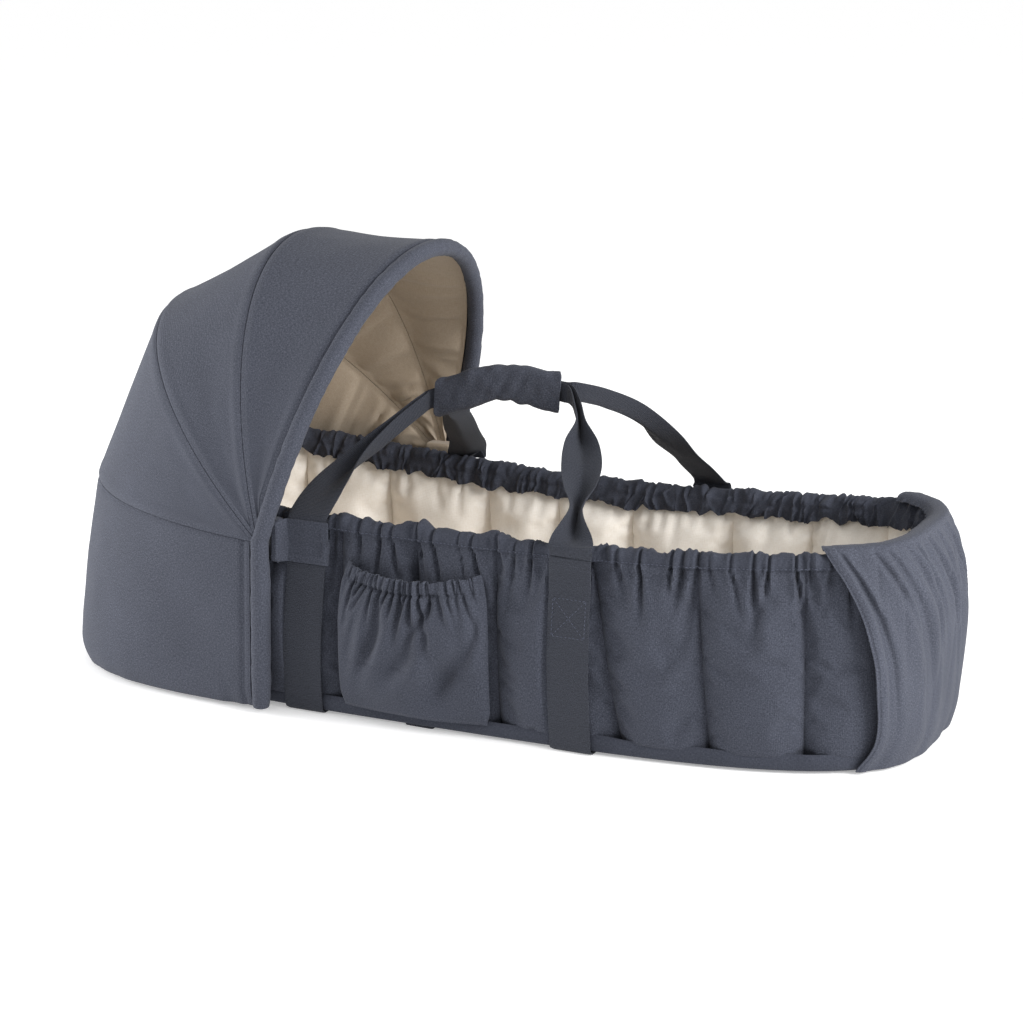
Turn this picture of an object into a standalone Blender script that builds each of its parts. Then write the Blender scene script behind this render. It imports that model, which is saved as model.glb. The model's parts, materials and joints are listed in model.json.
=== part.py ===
# Soft carrycot for a newborn: quilted wall, folding hood, two carrying handles.
# Metres, +Z up, +X towards the feet, -X the head end, -Y the near long side.
# The origin is on the ground, at the middle of the outer box.

import math

import bmesh
import bpy
from mathutils import Matrix, Vector

# Common gaps between pieces that touch
SEAT_GAP = 0.0003
LAYER_GAP = 0.0006

# Plan of the nest at the widest height of its wall
HEAD_END_X = -0.397
FOOT_END_X = 0.4093
HEAD_HALF_WIDTH = 0.1695
FOOT_HALF_WIDTH = 0.158
CORNER_POWER = 3.2

# Webbing
WEBBING_WIDTH = 0.038
WEBBING_THICKNESS = 0.0017
ANCHOR_STRAP_WIDTH = 0.027

# Floor of the nest, from the ground up
BASE_COVER_THICKNESS = 0.0025
BASE_BOARD_THICKNESS = 0.0030
MATTRESS_THICKNESS = 0.030
MATTRESS_CROWN = 0.005
BASE_INSET = 0.007
MATTRESS_INSET = 0.040
MATTRESS_EDGE = 0.006
MATTRESS_UNDERCUT = 0.004
PLATE_STATIONS = 44

# Quilted wall: channels of padding between an outer cover and a lining
WALL_END_Z = 0.170
SAG_MIDDLE_X = 0.030
SAG_REACH = 0.330
NEAR_SAG = 0.008
FAR_SAG = 0.024
BOTTOM_DRAW = 0.0065
TOP_DRAW = 0.010
WIDEST_SHARE = 0.45
SEAM_DEPTH = 0.010
SEAM_THICKNESS = 0.008
CHANNEL_THICKNESS = 0.032
END_FULLNESS = 0.45
SKIN_THICKNESS = 0.0009
SIDE_SEAMS_X = (-0.290, -0.1975, -0.0865, -0.011, 0.064, 0.166, 0.249, 0.333)
HEAD_CHANNELS = 3
FOOT_CHANNELS = 3
COLUMNS_PER_CHANNEL = 3
WALL_LEVELS = (0.0, 0.2, 0.5, 0.8, 1.0)

# Gathered band round the rim, with its elastic in a slot that is open to the inside
RUFFLE_HEIGHT = 0.0182
RUFFLE_OUT = -0.0140
RUFFLE_IN = -0.0245
RUFFLE_FOOT_OUT = -0.0103
RUFFLE_FOOT_IN = -0.0285
RUFFLE_FOOT = 0.0016
RUFFLE_WAVE = 0.0014
RUFFLE_LIP = 0.0015
ELASTIC_HEIGHT = 0.0064
ELASTIC_THICKNESS = 0.0012
ELASTIC_LOW = 0.0022

# Hood: four flat bows on one pivot axis across the nest
PIVOT_X = -0.152
PIVOT_BELOW_RIM = 0.0135
PIVOT_Z = WALL_END_Z - PIVOT_BELOW_RIM
HOOD_SIDE_CLEARANCE = 0.0237
HOOD_BACK_CLEARANCE = 0.012
ARCH_POWER = 2.1
BOW_WIDTH = 0.006
BOW_THICKNESS = 0.0016
BOW_LAYER = 0.0022
BOW_START = 0.003
EYE_RADIUS = 0.007
EYE_THICKNESS = 0.0018
PIN_RADIUS = 0.0020
PIN_CLEARANCE = 0.0002
PIN_HEAD_RADIUS = 0.005
PIN_HEAD_THICKNESS = 0.0012
BOW_DEGREES = {"front": 72.0, "middle": 102.5, "rear": 135.0, "base": 176.7}
BOW_RADIUS = {
    "front": 0.2500,
    "middle": 0.2500,
    "rear": 0.2520,
    "base": PIVOT_X - HEAD_END_X + HOOD_BACK_CLEARANCE,
}
BOW_LAYERS = {"front": 0, "middle": 1, "rear": 2, "base": 3}
EDGE_RADIUS = 0.009
EDGE_START = 0.012
EDGE_TAPER = 0.024
EDGE_FULL = 0.075
EDGE_HALF_GAP = 0.0001
EDGE_LIP = -0.0070
EDGE_SIDES = 12
HOOD_FABRIC = 0.0024
HOOD_LINING = 0.0010
HOOD_SEAM_GAP = 0.0006
EDGE_SEAM_GAP = 0.0006
BOW_FLAT = 0.0042
PANEL_START = 0.030
PANEL_STATIONS = 21
SKIRT_BULGE = 0.0018
SKIRT_TUCK = 0.006
SKIRT_LOW_POWER = 3.0
SKIRT_LOW_Z = 0.0035
SKIRT_STATIONS = 23
# Share of the height, share of the bulge, share of the tuck
SKIRT_PROFILE = ((1.0, 0, 0.0), (0.6, 1, 0.0), (0.25, 1, 0.0), (0.07, 0, 0.35), (0.0, 0, 1.0))
EDGE_LEAN = 0.003
EDGE_FOOT = 0.006
EDGE_FOOT_SHARE = 0.7
HINGE_BLOCK = (0.024, 0.036)
HINGE_ROUNDING = 0.002
PIN_SINK = 0.001

# Handles: the free webbing of each starts at a fold line on the rim
HEAD_STRAP_X = -0.115
FOOT_STRAP_X = 0.1355
FOLD_RISE = 0.0190
STRAP_RIM_OFFSET = -0.0088
STRAP_CORNER_EASE = 0.0010
STRAP_LEVELS = (0.08, 0.2, 0.35, 0.5, 0.65, 0.8, 0.92)
ANCHOR_STRAP_INSET = 0.004
GRIP_TALL = 0.022
GRIP_THICK = 0.0045
GRIP_Y = -0.0058
GRIP_GAP = 0.0012
WRAP_LENGTH = 0.123
WRAP_TALL = 0.042
WRAP_DEPTH = 0.0145
WRAP_WALL = 0.0021
WRAP_CORNER = 0.0045
# Centre lines from the fold line at the head to the one at the foot: x, y, z, width, thickness and how
# far the width stands upright. The legs by the hood are folded narrow, which lets them pass its edge.
NEAR_HANDLE = (
    (-0.1080, -0.1280, 0.1975, 0.0240, 0.0020, 0.0),
    (-0.0980, -0.0900, 0.2160, 0.016, 0.0028, 0.2),
    (-0.0855, -0.0500, 0.2400, 0.020, 0.0045, 0.7),
    (-0.0765, -0.0200, 0.2580, 0.021, 0.0045, 1.0),
    (-0.0690, GRIP_Y, 0.2655, GRIP_TALL, GRIP_THICK, 1.0),
    (-0.0300, GRIP_Y, 0.2715, GRIP_TALL, GRIP_THICK, 1.0),
    (0.0000, GRIP_Y, 0.2725, GRIP_TALL, GRIP_THICK, 1.0),
    (0.0300, GRIP_Y, 0.2740, GRIP_TALL, GRIP_THICK, 1.0),
    (0.0580, GRIP_Y, 0.2770, GRIP_TALL, GRIP_THICK, 1.0),
    (0.0680, -0.0100, 0.2765, 0.020, 0.0045, 1.0),
    (0.0800, -0.0260, 0.2700, 0.020, 0.0045, 0.9),
    (0.0940, -0.0480, 0.2570, 0.023, 0.0040, 0.6),
    (0.1130, -0.0860, 0.2310, 0.032, 0.0022, 0.2),
    (0.1270, -0.1260, 0.2020, 0.026, 0.0020, 0.0),
)
FAR_GRIP_Y = GRIP_Y + GRIP_THICK + GRIP_GAP
FAR_HANDLE = (
    (-0.1083, 0.1240, 0.1900, 0.0280, 0.0020, 0.0),
    (-0.0975, 0.0900, 0.2130, 0.023, 0.0026, 0.2),
    (-0.0880, 0.0550, 0.2340, 0.022, 0.0045, 0.7),
    (-0.0780, 0.0150, 0.2560, 0.021, 0.0045, 1.0),
    (-0.0690, FAR_GRIP_Y, 0.2655, GRIP_TALL, GRIP_THICK, 1.0),
    (-0.0300, FAR_GRIP_Y, 0.2715, GRIP_TALL, GRIP_THICK, 1.0),
    (0.0000, FAR_GRIP_Y, 0.2725, GRIP_TALL, GRIP_THICK, 1.0),
    (0.0300, FAR_GRIP_Y, 0.2740, GRIP_TALL, GRIP_THICK, 1.0),
    (0.0580, FAR_GRIP_Y, 0.2770, GRIP_TALL, GRIP_THICK, 1.0),
    (0.0670, 0.0060, 0.2765, 0.020, 0.0045, 1.0),
    (0.0790, 0.0380, 0.2640, 0.020, 0.0045, 0.9),
    (0.0920, 0.0780, 0.2430, 0.022, 0.0040, 0.6),
    (0.1100, 0.1130, 0.2120, 0.032, 0.0022, 0.2),
    (0.1260, 0.1340, 0.1860, 0.037, 0.0017, 0.0),
)

# Side pocket on the near side
POCKET_X = (-0.0835, 0.0625)
POCKET_Z = (0.014, 0.146)
POCKET_DEPTH = 0.018
POCKET_CLOTH = 0.0016
POCKET_MOUTH_SAG = 0.006
POCKET_COLUMNS = 11
POCKET_LEVELS = 6
POCKET_ELASTIC_RADIUS = 0.0014

# Loose cover pulled over the foot end
FOOT_COVER_CLOTH = 0.0014
FOOT_COVER_FOLD = 0.0022
FOOT_COVER_GAP = 0.0010
FOOT_COVER_COLUMNS = 25
# Outward offset, share of the height of the rim, and the x of the cover's side edge
FOOT_COVER_PROFILE = (
    (-0.0060, 0.021, 0.372),
    (0.0000, 0.160, 0.382),
    (0.0026, 0.430, 0.380),
    (0.0016, 0.680, 0.372),
    (-0.0050, 0.870, 0.360),
    (-0.0108, 0.975, 0.350),
    (-0.0150, 1.017, 0.345),
    (-0.0260, 1.015, 0.345),
)

# Cloth patches sewn over the webbing below the rim
PATCH_SIZE = (0.044, 0.034)
PATCH_BELOW_RIM = 0.009
PATCH_THICKNESS = 0.0012

# Colours as sRGB hex, with roughness and metallic
FINISHES = {
    "slate_cloth": ("464B5E", 0.92, 0.0),
    "dark_slate_cloth": ("383C4C", 0.92, 0.0),
    "beige_lining": ("C9B8A0", 0.80, 0.0),
    "slate_webbing": ("42475A", 0.85, 0.0),
    "wadding": ("E6E2DA", 0.95, 0.0),
    "board": ("B9A98C", 0.80, 0.0),
    "elastic": ("2E313D", 0.80, 0.0),
    "bow_plastic": ("2A2B2E", 0.45, 0.0),
    "pin_steel": ("9A9DA1", 0.35, 1.0),
}


def srgb_to_linear(hexcode):
    values = [int(hexcode[i : i + 2], 16) / 255 for i in (0, 2, 4)]
    return [v / 12.92 if v <= 0.04045 else ((v + 0.055) / 1.055) ** 2.4 for v in values]


def clear_scene():
    for obj in list(bpy.data.objects):
        bpy.data.objects.remove(obj)


def new_collection(name):
    collection = bpy.data.collections.new(name)
    bpy.context.scene.collection.children.link(collection)
    return collection


def set_finish(obj, finish):
    colour, roughness, metallic = FINISHES[finish]
    material = bpy.data.materials.new(obj.name + "_" + finish)
    material.use_nodes = True
    shader = material.node_tree.nodes["Principled BSDF"]
    shader.inputs["Base Color"].default_value = (*srgb_to_linear(colour), 1)
    shader.inputs["Roughness"].default_value = roughness
    shader.inputs["Metallic"].default_value = metallic
    obj.data.materials.clear()
    obj.data.materials.append(material)


def put_in(obj, collection, parent=None):
    for old in list(obj.users_collection):
        old.objects.unlink(obj)
    collection.objects.link(obj)
    if parent is not None:
        obj.parent = parent
        obj.matrix_parent_inverse = parent.matrix_world.inverted()


def mesh_object(name, points, faces, finish, parent=None):
    mesh = bpy.data.meshes.new(name)
    mesh.from_pydata([tuple(p) for p in points], [], faces)
    mesh.update()
    made = bmesh.new()
    made.from_mesh(mesh)
    bmesh.ops.recalc_face_normals(made, faces=made.faces)
    made.to_mesh(mesh)
    made.free()
    mesh.shade_smooth()
    mesh.set_sharp_from_angle(angle=math.radians(40))
    obj = bpy.data.objects.new(name, mesh)
    put_in(obj, NEST, parent)
    set_finish(obj, finish)
    return obj


# Every four-sided patch is halved on the same diagonal, so that neighbouring layers stay parallel
def halves(a, b, c, d):
    return [(a, b, c), (a, c, d)]


# Soft bodies are lofts: rings of points joined in turn, with both ends filled unless they close on themselves.
def loft(name, sections, finish, parent=None, closed=False):
    count = len(sections[0])
    points = [p for section in sections for p in section]
    faces = []
    spans = len(sections) if closed else len(sections) - 1
    for i in range(spans):
        a = i * count
        b = (i + 1) % len(sections) * count
        for j in range(count):
            k = (j + 1) % count
            faces += halves(a + j, a + k, b + k, b + j)
    if not closed:
        faces.append(tuple(range(count)))
        faces.append(tuple(range(len(points) - count, len(points))))
    return mesh_object(name, points, faces, finish, parent)


# A pad is two grids of points, its front and its back, joined along their borders.
def pad(name, front, back, finish):
    rows, count = len(front), len(front[0])
    points = [p for row in front + back for p in row]
    shift = rows * count
    faces = []
    for i in range(rows - 1):
        for j in range(count - 1):
            corner = i * count + j
            for tri in halves(corner, corner + 1, corner + count + 1, corner + count):
                faces.append(tri)
                faces.append(tuple(shift + p for p in reversed(tri)))
    edge = list(range(count)) + [count * (i + 1) - 1 for i in range(1, rows)]
    edge += [shift - 2 - j for j in range(count - 1)] + [count * (rows - 2 - i) for i in range(rows - 2)]
    for a, b in zip(edge, edge[1:] + edge[:1]):
        faces += halves(a, a + shift, b + shift, b)
    return mesh_object(name, points, faces, finish)


# Cloth is an open grid of points given its thickness by Solidify, on the side away from its outer face.
def cloth(name, rows, thickness, finish, parent=None, closed=False, outward=None):
    count = len(rows[0])
    points = [p for row in rows for p in row]
    faces = []
    for i in range(len(rows) - 1):
        for j in range(count if closed else count - 1):
            k = (j + 1) % count
            faces += halves(i * count + j, i * count + k, (i + 1) * count + k, (i + 1) * count + j)
    mesh = bpy.data.meshes.new(name)
    mesh.from_pydata([tuple(p) for p in points], [], faces)
    mesh.update()
    middle = mesh.polygons[len(mesh.polygons) // 2]
    if outward is not None and middle.normal.dot(outward(middle.center)) < 0:
        mesh.flip_normals()
    mesh.shade_smooth()
    obj = bpy.data.objects.new(name, mesh)
    put_in(obj, NEST, parent)
    set_finish(obj, finish)
    shell = obj.modifiers.new("Thickness", "SOLIDIFY")
    shell.thickness = thickness
    shell.offset = -1
    return obj


def boolean(obj, other, operation):
    cut = obj.modifiers.new(operation.title(), "BOOLEAN")
    cut.operation = operation
    cut.object = other
    cut.solver = "EXACT"


def rod(name, radius, length, centre, finish, collection, parent=None, segments=24):
    bpy.ops.mesh.primitive_cylinder_add(
        vertices=segments,
        radius=radius,
        depth=length,
        location=centre,
        rotation=(math.pi / 2, 0, 0),
    )
    obj = bpy.context.object
    obj.name = name
    put_in(obj, collection, parent)
    set_finish(obj, finish)
    return obj


def hide_tool(obj):
    obj.hide_render = True
    obj.display_type = "WIRE"


# Outline of the nest, counter-clockwise from the middle of the foot end, as points at equal steps of length
def outline_at(turn):
    c = math.cos(turn)
    s = math.sin(turn)
    x = math.copysign(abs(c) ** (2 / CORNER_POWER), c)
    y = math.copysign(abs(s) ** (2 / CORNER_POWER), s)
    along = (HEAD_END_X + FOOT_END_X) / 2 + x * (FOOT_END_X - HEAD_END_X) / 2
    share = (along - HEAD_END_X) / (FOOT_END_X - HEAD_END_X)
    half = HEAD_HALF_WIDTH + (FOOT_HALF_WIDTH - HEAD_HALF_WIDTH) * share
    return Vector((along, y * half, 0))


OUTLINE_STEPS = 2400
TRACE = [outline_at(2 * math.pi * i / OUTLINE_STEPS) for i in range(OUTLINE_STEPS)]
RUN = [0.0]
for index in range(OUTLINE_STEPS):
    RUN.append(RUN[-1] + (TRACE[(index + 1) % OUTLINE_STEPS] - TRACE[index]).length)
PERIMETER = RUN[-1]


def outline(run):
    run %= PERIMETER
    low, high = 0, OUTLINE_STEPS
    while high - low > 1:
        middle = (low + high) // 2
        if RUN[middle] <= run:
            low = middle
        else:
            high = middle
    share = (run - RUN[low]) / max(RUN[low + 1] - RUN[low], 1e-12)
    here = TRACE[low].lerp(TRACE[(low + 1) % OUTLINE_STEPS], share)
    ahead = TRACE[(low + 12) % OUTLINE_STEPS] - TRACE[(low - 12) % OUTLINE_STEPS]
    return here, Vector((ahead.y, -ahead.x, 0)).normalized()


def run_at_x(x, side):
    best = min(
        (i for i in range(OUTLINE_STEPS) if TRACE[i].y * side > 0),
        key=lambda i: abs(TRACE[i].x - x),
    )
    return RUN[best]


def on_outline(run, offset, z):
    here, normal = outline(run)
    point = here + normal * offset
    return Vector((point.x, point.y, z))


def even_runs(count):
    return [PERIMETER * i / count for i in range(count)]


def half_width(x):
    return abs(outline(run_at_x(x, -1))[0].y)


# Half of the width that the base bow's arch needs to pass round the rim behind the pivots
def reach_round_rim():
    needed = 0.0
    for run in even_runs(OUTLINE_STEPS // 6):
        point = on_outline(run, RUFFLE_OUT + RUFFLE_WAVE, 0)
        rise = (PIVOT_X - point.x) / BOW_RADIUS["base"]
        if 0 <= rise < 1:
            needed = max(needed, abs(point.y) / (1 - rise**ARCH_POWER) ** (1 / ARCH_POWER))
    return needed


# The front bow is the outermost, and each bow behind it lies one layer further in
FRONT_BOW_REACH = reach_round_rim() + HOOD_SIDE_CLEARANCE


def seam_runs():
    far = [run_at_x(x, 1) for x in reversed(SIDE_SEAMS_X)]
    near = [run_at_x(x, -1) for x in SIDE_SEAMS_X]
    head = [far[-1] + (near[0] - far[-1]) * i / HEAD_CHANNELS for i in range(1, HEAD_CHANNELS)]
    last = far[0] + PERIMETER
    foot = [near[-1] + (last - near[-1]) * i / FOOT_CHANNELS for i in range(1, FOOT_CHANNELS)]
    return far + head + near + foot


SEAMS = seam_runs()
CHANNELS = len(SEAMS)

# Heights that stack up from the ground
BASE_COVER_Z = WEBBING_THICKNESS + SEAT_GAP
BASE_TOP_Z = BASE_COVER_Z + BASE_COVER_THICKNESS
WALL_FOOT_Z = BASE_TOP_Z + SEAT_GAP
BOARD_TOP_Z = WALL_FOOT_Z + BASE_BOARD_THICKNESS
MATTRESS_Z = BOARD_TOP_Z + SEAT_GAP


# The rim is highest at both ends and sags between them, more on the far side
def wall_top(run):
    here = outline(run)[0]
    share = max(0.0, 1 - ((here.x - SAG_MIDDLE_X) / SAG_REACH) ** 2)
    return WALL_END_Z - share * (NEAR_SAG if here.y < 0 else FAR_SAG)


def wall_z(level, run):
    return WALL_FOOT_Z + level * (wall_top(run) - WALL_FOOT_Z)


def wall_level(z, run):
    return (z - WALL_FOOT_Z) / (wall_top(run) - WALL_FOOT_Z)


def drawn_in(level):
    if level < WIDEST_SHARE:
        return BOTTOM_DRAW * (1 - level / WIDEST_SHARE) ** 2
    return TOP_DRAW * ((level - WIDEST_SHARE) / (1 - WIDEST_SHARE)) ** 2


def fullness(share):
    return max(0.0, math.sin(math.pi * share)) ** 0.7


def outer_offset(share, level):
    return -drawn_in(level) - SEAM_DEPTH * (1 - fullness(share))


def wall_thickness(share, level):
    plump = END_FULLNESS + (1 - END_FULLNESS) * math.sin(math.pi * level)
    return SEAM_THICKNESS + (CHANNEL_THICKNESS - SEAM_THICKNESS) * fullness(share) * plump


def channel_run(channel, share):
    start = SEAMS[channel]
    end = SEAMS[(channel + 1) % CHANNELS]
    if end < start:
        end += PERIMETER
    return start + (end - start) * share


def wall_columns():
    return [(c, i / COLUMNS_PER_CHANNEL) for c in range(CHANNELS) for i in range(COLUMNS_PER_CHANNEL)]


def make_wall():
    inset = SKIN_THICKNESS + LAYER_GAP
    cover = []
    lining = []
    for v in WALL_LEVELS:
        outer_row = []
        inner_row = []
        for c, f in wall_columns():
            run = channel_run(c, f)
            outer_row.append(on_outline(run, outer_offset(f, v), wall_z(v, run)))
            behind = outer_offset(f, v) - wall_thickness(f, v)
            inner_row.append(on_outline(run, behind, wall_z(v, run)))
        cover.append(outer_row)
        lining.append(inner_row)
    cloth("outer_cover", cover, SKIN_THICKNESS, "slate_cloth", closed=True, outward=away_from_middle)
    cloth("lining", lining, SKIN_THICKNESS, "beige_lining", closed=True, outward=towards_middle)
    for channel in range(CHANNELS):
        gap = LAYER_GAP / (channel_run(channel, 1) - channel_run(channel, 0))
        shares = [i / COLUMNS_PER_CHANNEL for i in range(COLUMNS_PER_CHANNEL + 1)]
        front = []
        behind = []
        for v in WALL_LEVELS:
            outer = []
            inner = []
            for f in shares:
                run = channel_run(channel, min(max(f, gap), 1 - gap))
                skin = outer_offset(f, v) - inset
                back = outer_offset(f, v) - wall_thickness(f, v) + inset
                outer.append(on_outline(run, skin, wall_z(v, run)))
                inner.append(on_outline(run, back, wall_z(v, run)))
            front.append(outer)
            behind.append(inner)
        pad(f"wall_pad_{channel + 1:02d}", front, behind, "wadding")


def away_from_middle(point):
    return Vector((point.x, point.y, 0))


def towards_middle(point):
    return Vector((-point.x, -point.y, 0))


def plate(name, inset, low, high, finish):
    ring = [on_outline(run, -inset, 0) for run in even_runs(PLATE_STATIONS)]
    sections = [[Vector((p.x, p.y, z)) for p in ring] for z in (low, high)]
    return loft(name, sections, finish)


def make_floor():
    plate("base_cover", BASE_INSET, BASE_COVER_Z, BASE_TOP_Z, "dark_slate_cloth")
    plate("base_board", MATTRESS_INSET, WALL_FOOT_Z, BOARD_TOP_Z, "board")
    middle = (HEAD_END_X + FOOT_END_X) / 2
    top = MATTRESS_Z + MATTRESS_THICKNESS
    sections = []
    for inset, shrink, z in (
        (MATTRESS_INSET + MATTRESS_UNDERCUT, 1.0, MATTRESS_Z),
        (MATTRESS_INSET, 1.0, MATTRESS_Z + 0.3 * MATTRESS_THICKNESS),
        (MATTRESS_INSET, 1.0, MATTRESS_Z + 0.7 * MATTRESS_THICKNESS),
        (MATTRESS_INSET + MATTRESS_EDGE, 1.0, top),
        (MATTRESS_INSET + MATTRESS_EDGE, 0.8, top + 0.7 * MATTRESS_CROWN),
        (MATTRESS_INSET + MATTRESS_EDGE, 0.4, top + MATTRESS_CROWN),
    ):
        ring = [on_outline(run, -inset, z) for run in even_runs(PLATE_STATIONS)]
        sections.append([Vector((middle + (p.x - middle) * shrink, p.y * shrink, z)) for p in ring])
    loft("mattress", sections, "beige_lining")


def make_ruffle():
    top = RUFFLE_HEIGHT
    slot_low = ELASTIC_LOW
    slot_high = slot_low + ELASTIC_HEIGHT + 2 * SEAT_GAP
    middle = (RUFFLE_OUT + RUFFLE_IN) / 2
    slot_floor = middle + ELASTIC_THICKNESS / 2 + SEAT_GAP
    low = slot_low + SEAT_GAP
    ruffle = []
    elastic = []
    for index, (channel, share) in enumerate(wall_columns()):
        run = channel_run(channel, share)
        foot = wall_top(run) + SEAT_GAP
        wave = RUFFLE_WAVE * (1 if index % 2 else -1)
        profile = (
            (RUFFLE_FOOT_OUT, 0.0),
            (RUFFLE_FOOT_OUT, RUFFLE_FOOT),
            (RUFFLE_OUT + RUFFLE_WAVE + wave / 2, 0.5 * top),
            (RUFFLE_OUT + wave, top - RUFFLE_LIP),
            (RUFFLE_IN + wave, top),
            (RUFFLE_IN, slot_high),
            (slot_floor, slot_high),
            (slot_floor, slot_low),
            (RUFFLE_IN, slot_low),
            (RUFFLE_FOOT_IN, RUFFLE_FOOT),
            (RUFFLE_FOOT_IN, 0.0),
        )
        ruffle.append([on_outline(run, offset, foot + z) for offset, z in profile])
        flat = ((1, low), (1, low + ELASTIC_HEIGHT), (-1, low + ELASTIC_HEIGHT), (-1, low))
        elastic.append([on_outline(run, middle + a * ELASTIC_THICKNESS / 2, foot + z) for a, z in flat])
    loft("rim_ruffle", ruffle, "dark_slate_cloth", closed=True)
    loft("rim_elastic", elastic, "elastic", closed=True)


# Hood geometry: arches in planes that turn about the pivot axis
def arch_shape(turn, power=ARCH_POWER):
    rise = abs(math.sin(turn)) ** (2 / power)
    across = -math.copysign(abs(math.cos(turn)) ** (2 / power), math.cos(turn))
    return rise, across


def arch_turn(radius, distance):
    return math.asin(min(1.0, (distance / radius) ** (ARCH_POWER / 2)))


def hood_point(radius, reach, degrees, turn):
    rise, across = arch_shape(turn)
    angle = math.radians(degrees)
    return Vector(
        (
            PIVOT_X + radius * rise * math.cos(angle),
            reach * across,
            PIVOT_Z + radius * rise * math.sin(angle),
        )
    )


def bow_reach(bow):
    return FRONT_BOW_REACH - BOW_LAYERS[bow] * BOW_LAYER


def panel_turns():
    start = arch_turn(BOW_RADIUS["front"], PANEL_START)
    step = (math.pi - 2 * start) / (PANEL_STATIONS - 1)
    return [start + step * i for i in range(PANEL_STATIONS)]


def edge_turns():
    start = arch_turn(BOW_RADIUS["front"], EDGE_START)
    return [start] + panel_turns() + [math.pi - start]


def bow_turns():
    start = arch_turn(BOW_RADIUS["front"], BOW_START)
    return [start] + edge_turns() + [math.pi - start]


def arch_frames(bow, turns):
    radius = BOW_RADIUS[bow]
    reach = bow_reach(bow)
    degrees = BOW_DEGREES[bow]
    step = 0.002
    side = Vector((-math.sin(math.radians(degrees)), 0, math.cos(math.radians(degrees))))
    frames = []
    for turn in turns:
        centre = hood_point(radius, reach, degrees, turn)
        ahead = hood_point(radius, reach, degrees, min(turn + step, math.pi))
        back = hood_point(radius, reach, degrees, max(turn - step, 0.0))
        tangent = (ahead - back).normalized()
        out = tangent.cross(side).normalized()
        if out.dot(centre - Vector((PIVOT_X, 0, PIVOT_Z))) < 0:
            out.negate()
        frames.append((centre, out, side))
    return frames


def make_bow(bow, parent):
    sections = []
    for centre, out, side in arch_frames(bow, bow_turns()):
        sections.append(
            [
                centre + out * (a * BOW_THICKNESS / 2) + side * (b * BOW_WIDTH / 2)
                for a, b in ((1, -1), (1, 1), (-1, 1), (-1, -1))
            ]
        )
    strip = loft(bow + "_bow", sections, "bow_plastic", parent)
    reach = bow_reach(bow)
    for side in (-1, 1):
        eye = rod(
            f"{bow}_eye_{side}",
            EYE_RADIUS,
            EYE_THICKNESS,
            (PIVOT_X, side * reach, PIVOT_Z),
            "bow_plastic",
            TOOLS,
        )
        hide_tool(eye)
        boolean(strip, eye, "UNION")
    boolean(strip, PIN_HOLE, "DIFFERENCE")


# The padded edge is a round tube split along its inner side for the bow. Near the pivots it is half of
# that and thinner, which keeps it clear of the skirt when the hood is folded back.
def edge_section(centre, out, side, radius, lip):
    start = math.asin(max(-1.0, min(1.0, lip / radius)))
    slot = BOW_WIDTH / 2 + SEAT_GAP
    floor = BOW_THICKNESS / 2 + SEAT_GAP
    steps = 8
    arc = []
    for i in range(steps + 1):
        angle = start + (math.pi - 2 * start) * i / steps
        arc.append((radius * math.sin(angle), radius * math.cos(angle)))
    profile = arc + [(lip, -slot), (floor, -slot), (floor, slot), (lip, slot)]
    return [centre + out * a + side * b for a, b in profile]


def make_front_edge(parent):
    turns = edge_turns()
    sections = []
    for turn, (centre, out, side) in zip(turns, arch_frames("front", turns)):
        distance = BOW_RADIUS["front"] * arch_shape(turn)[0]
        lip = EDGE_LIP if distance >= EDGE_FULL else BOW_THICKNESS / 2 + EDGE_HALF_GAP
        radius = EDGE_RADIUS * min(1.0, distance / EDGE_TAPER)
        sections.append(edge_section(centre, out, side, radius, lip))
    loft("hood_front_edge", sections, "slate_cloth", parent)


# Cloth over a bow is level across its width, and straight from one bow to the next
def cloth_radius(bow, inside):
    clear = BOW_THICKNESS / 2 + SEAT_GAP
    return BOW_RADIUS[bow] + (-clear - HOOD_LINING if inside else clear + HOOD_FABRIC)


def panel_rows(first, second, inside, lead_gap, tail_gap):
    reach = INNER_REACH if inside else OUTER_REACH
    rows = [[], [], [], [], []]
    for turn in panel_turns():
        ends = []
        for bow, gap, way in ((first, lead_gap, 1), (second, tail_gap, -1)):
            radius = cloth_radius(bow, inside)
            distance = radius * arch_shape(turn)[0]
            for shift in (gap, gap + BOW_FLAT):
                degrees = BOW_DEGREES[bow] + way * math.degrees(shift / distance)
                ends.append(hood_point(radius, reach, degrees, turn))
        for row, point in zip(rows, (ends[0], ends[1], ends[1].lerp(ends[3], 0.5), ends[3], ends[2])):
            row.append(point)
    return rows


OUTER_REACH = FRONT_BOW_REACH + BOW_THICKNESS / 2 + SEAT_GAP + HOOD_FABRIC
INNER_REACH = bow_reach("base") - EYE_THICKNESS / 2 - SEAT_GAP - HOOD_LINING


def away_from_pivot(point):
    return Vector((point.x - PIVOT_X, point.y, point.z - PIVOT_Z))


def towards_pivot(point):
    return -away_from_pivot(point)


def make_hood_panels(parents):
    edge = EDGE_RADIUS + EDGE_SEAM_GAP
    seam = HOOD_SEAM_GAP
    for name, first, second, lead in (
        ("front", "front", "middle", edge),
        ("middle", "middle", "rear", seam),
        ("rear", "rear", "base", seam),
    ):
        outer = panel_rows(first, second, False, lead, seam)
        cloth(f"hood_{name}_panel", outer, HOOD_FABRIC, "slate_cloth", parents[name], outward=away_from_pivot)
        inner = panel_rows(first, second, True, lead, seam)
        cloth(f"hood_{name}_lining", inner, HOOD_LINING, "beige_lining", parents[name], outward=towards_pivot)


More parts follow.
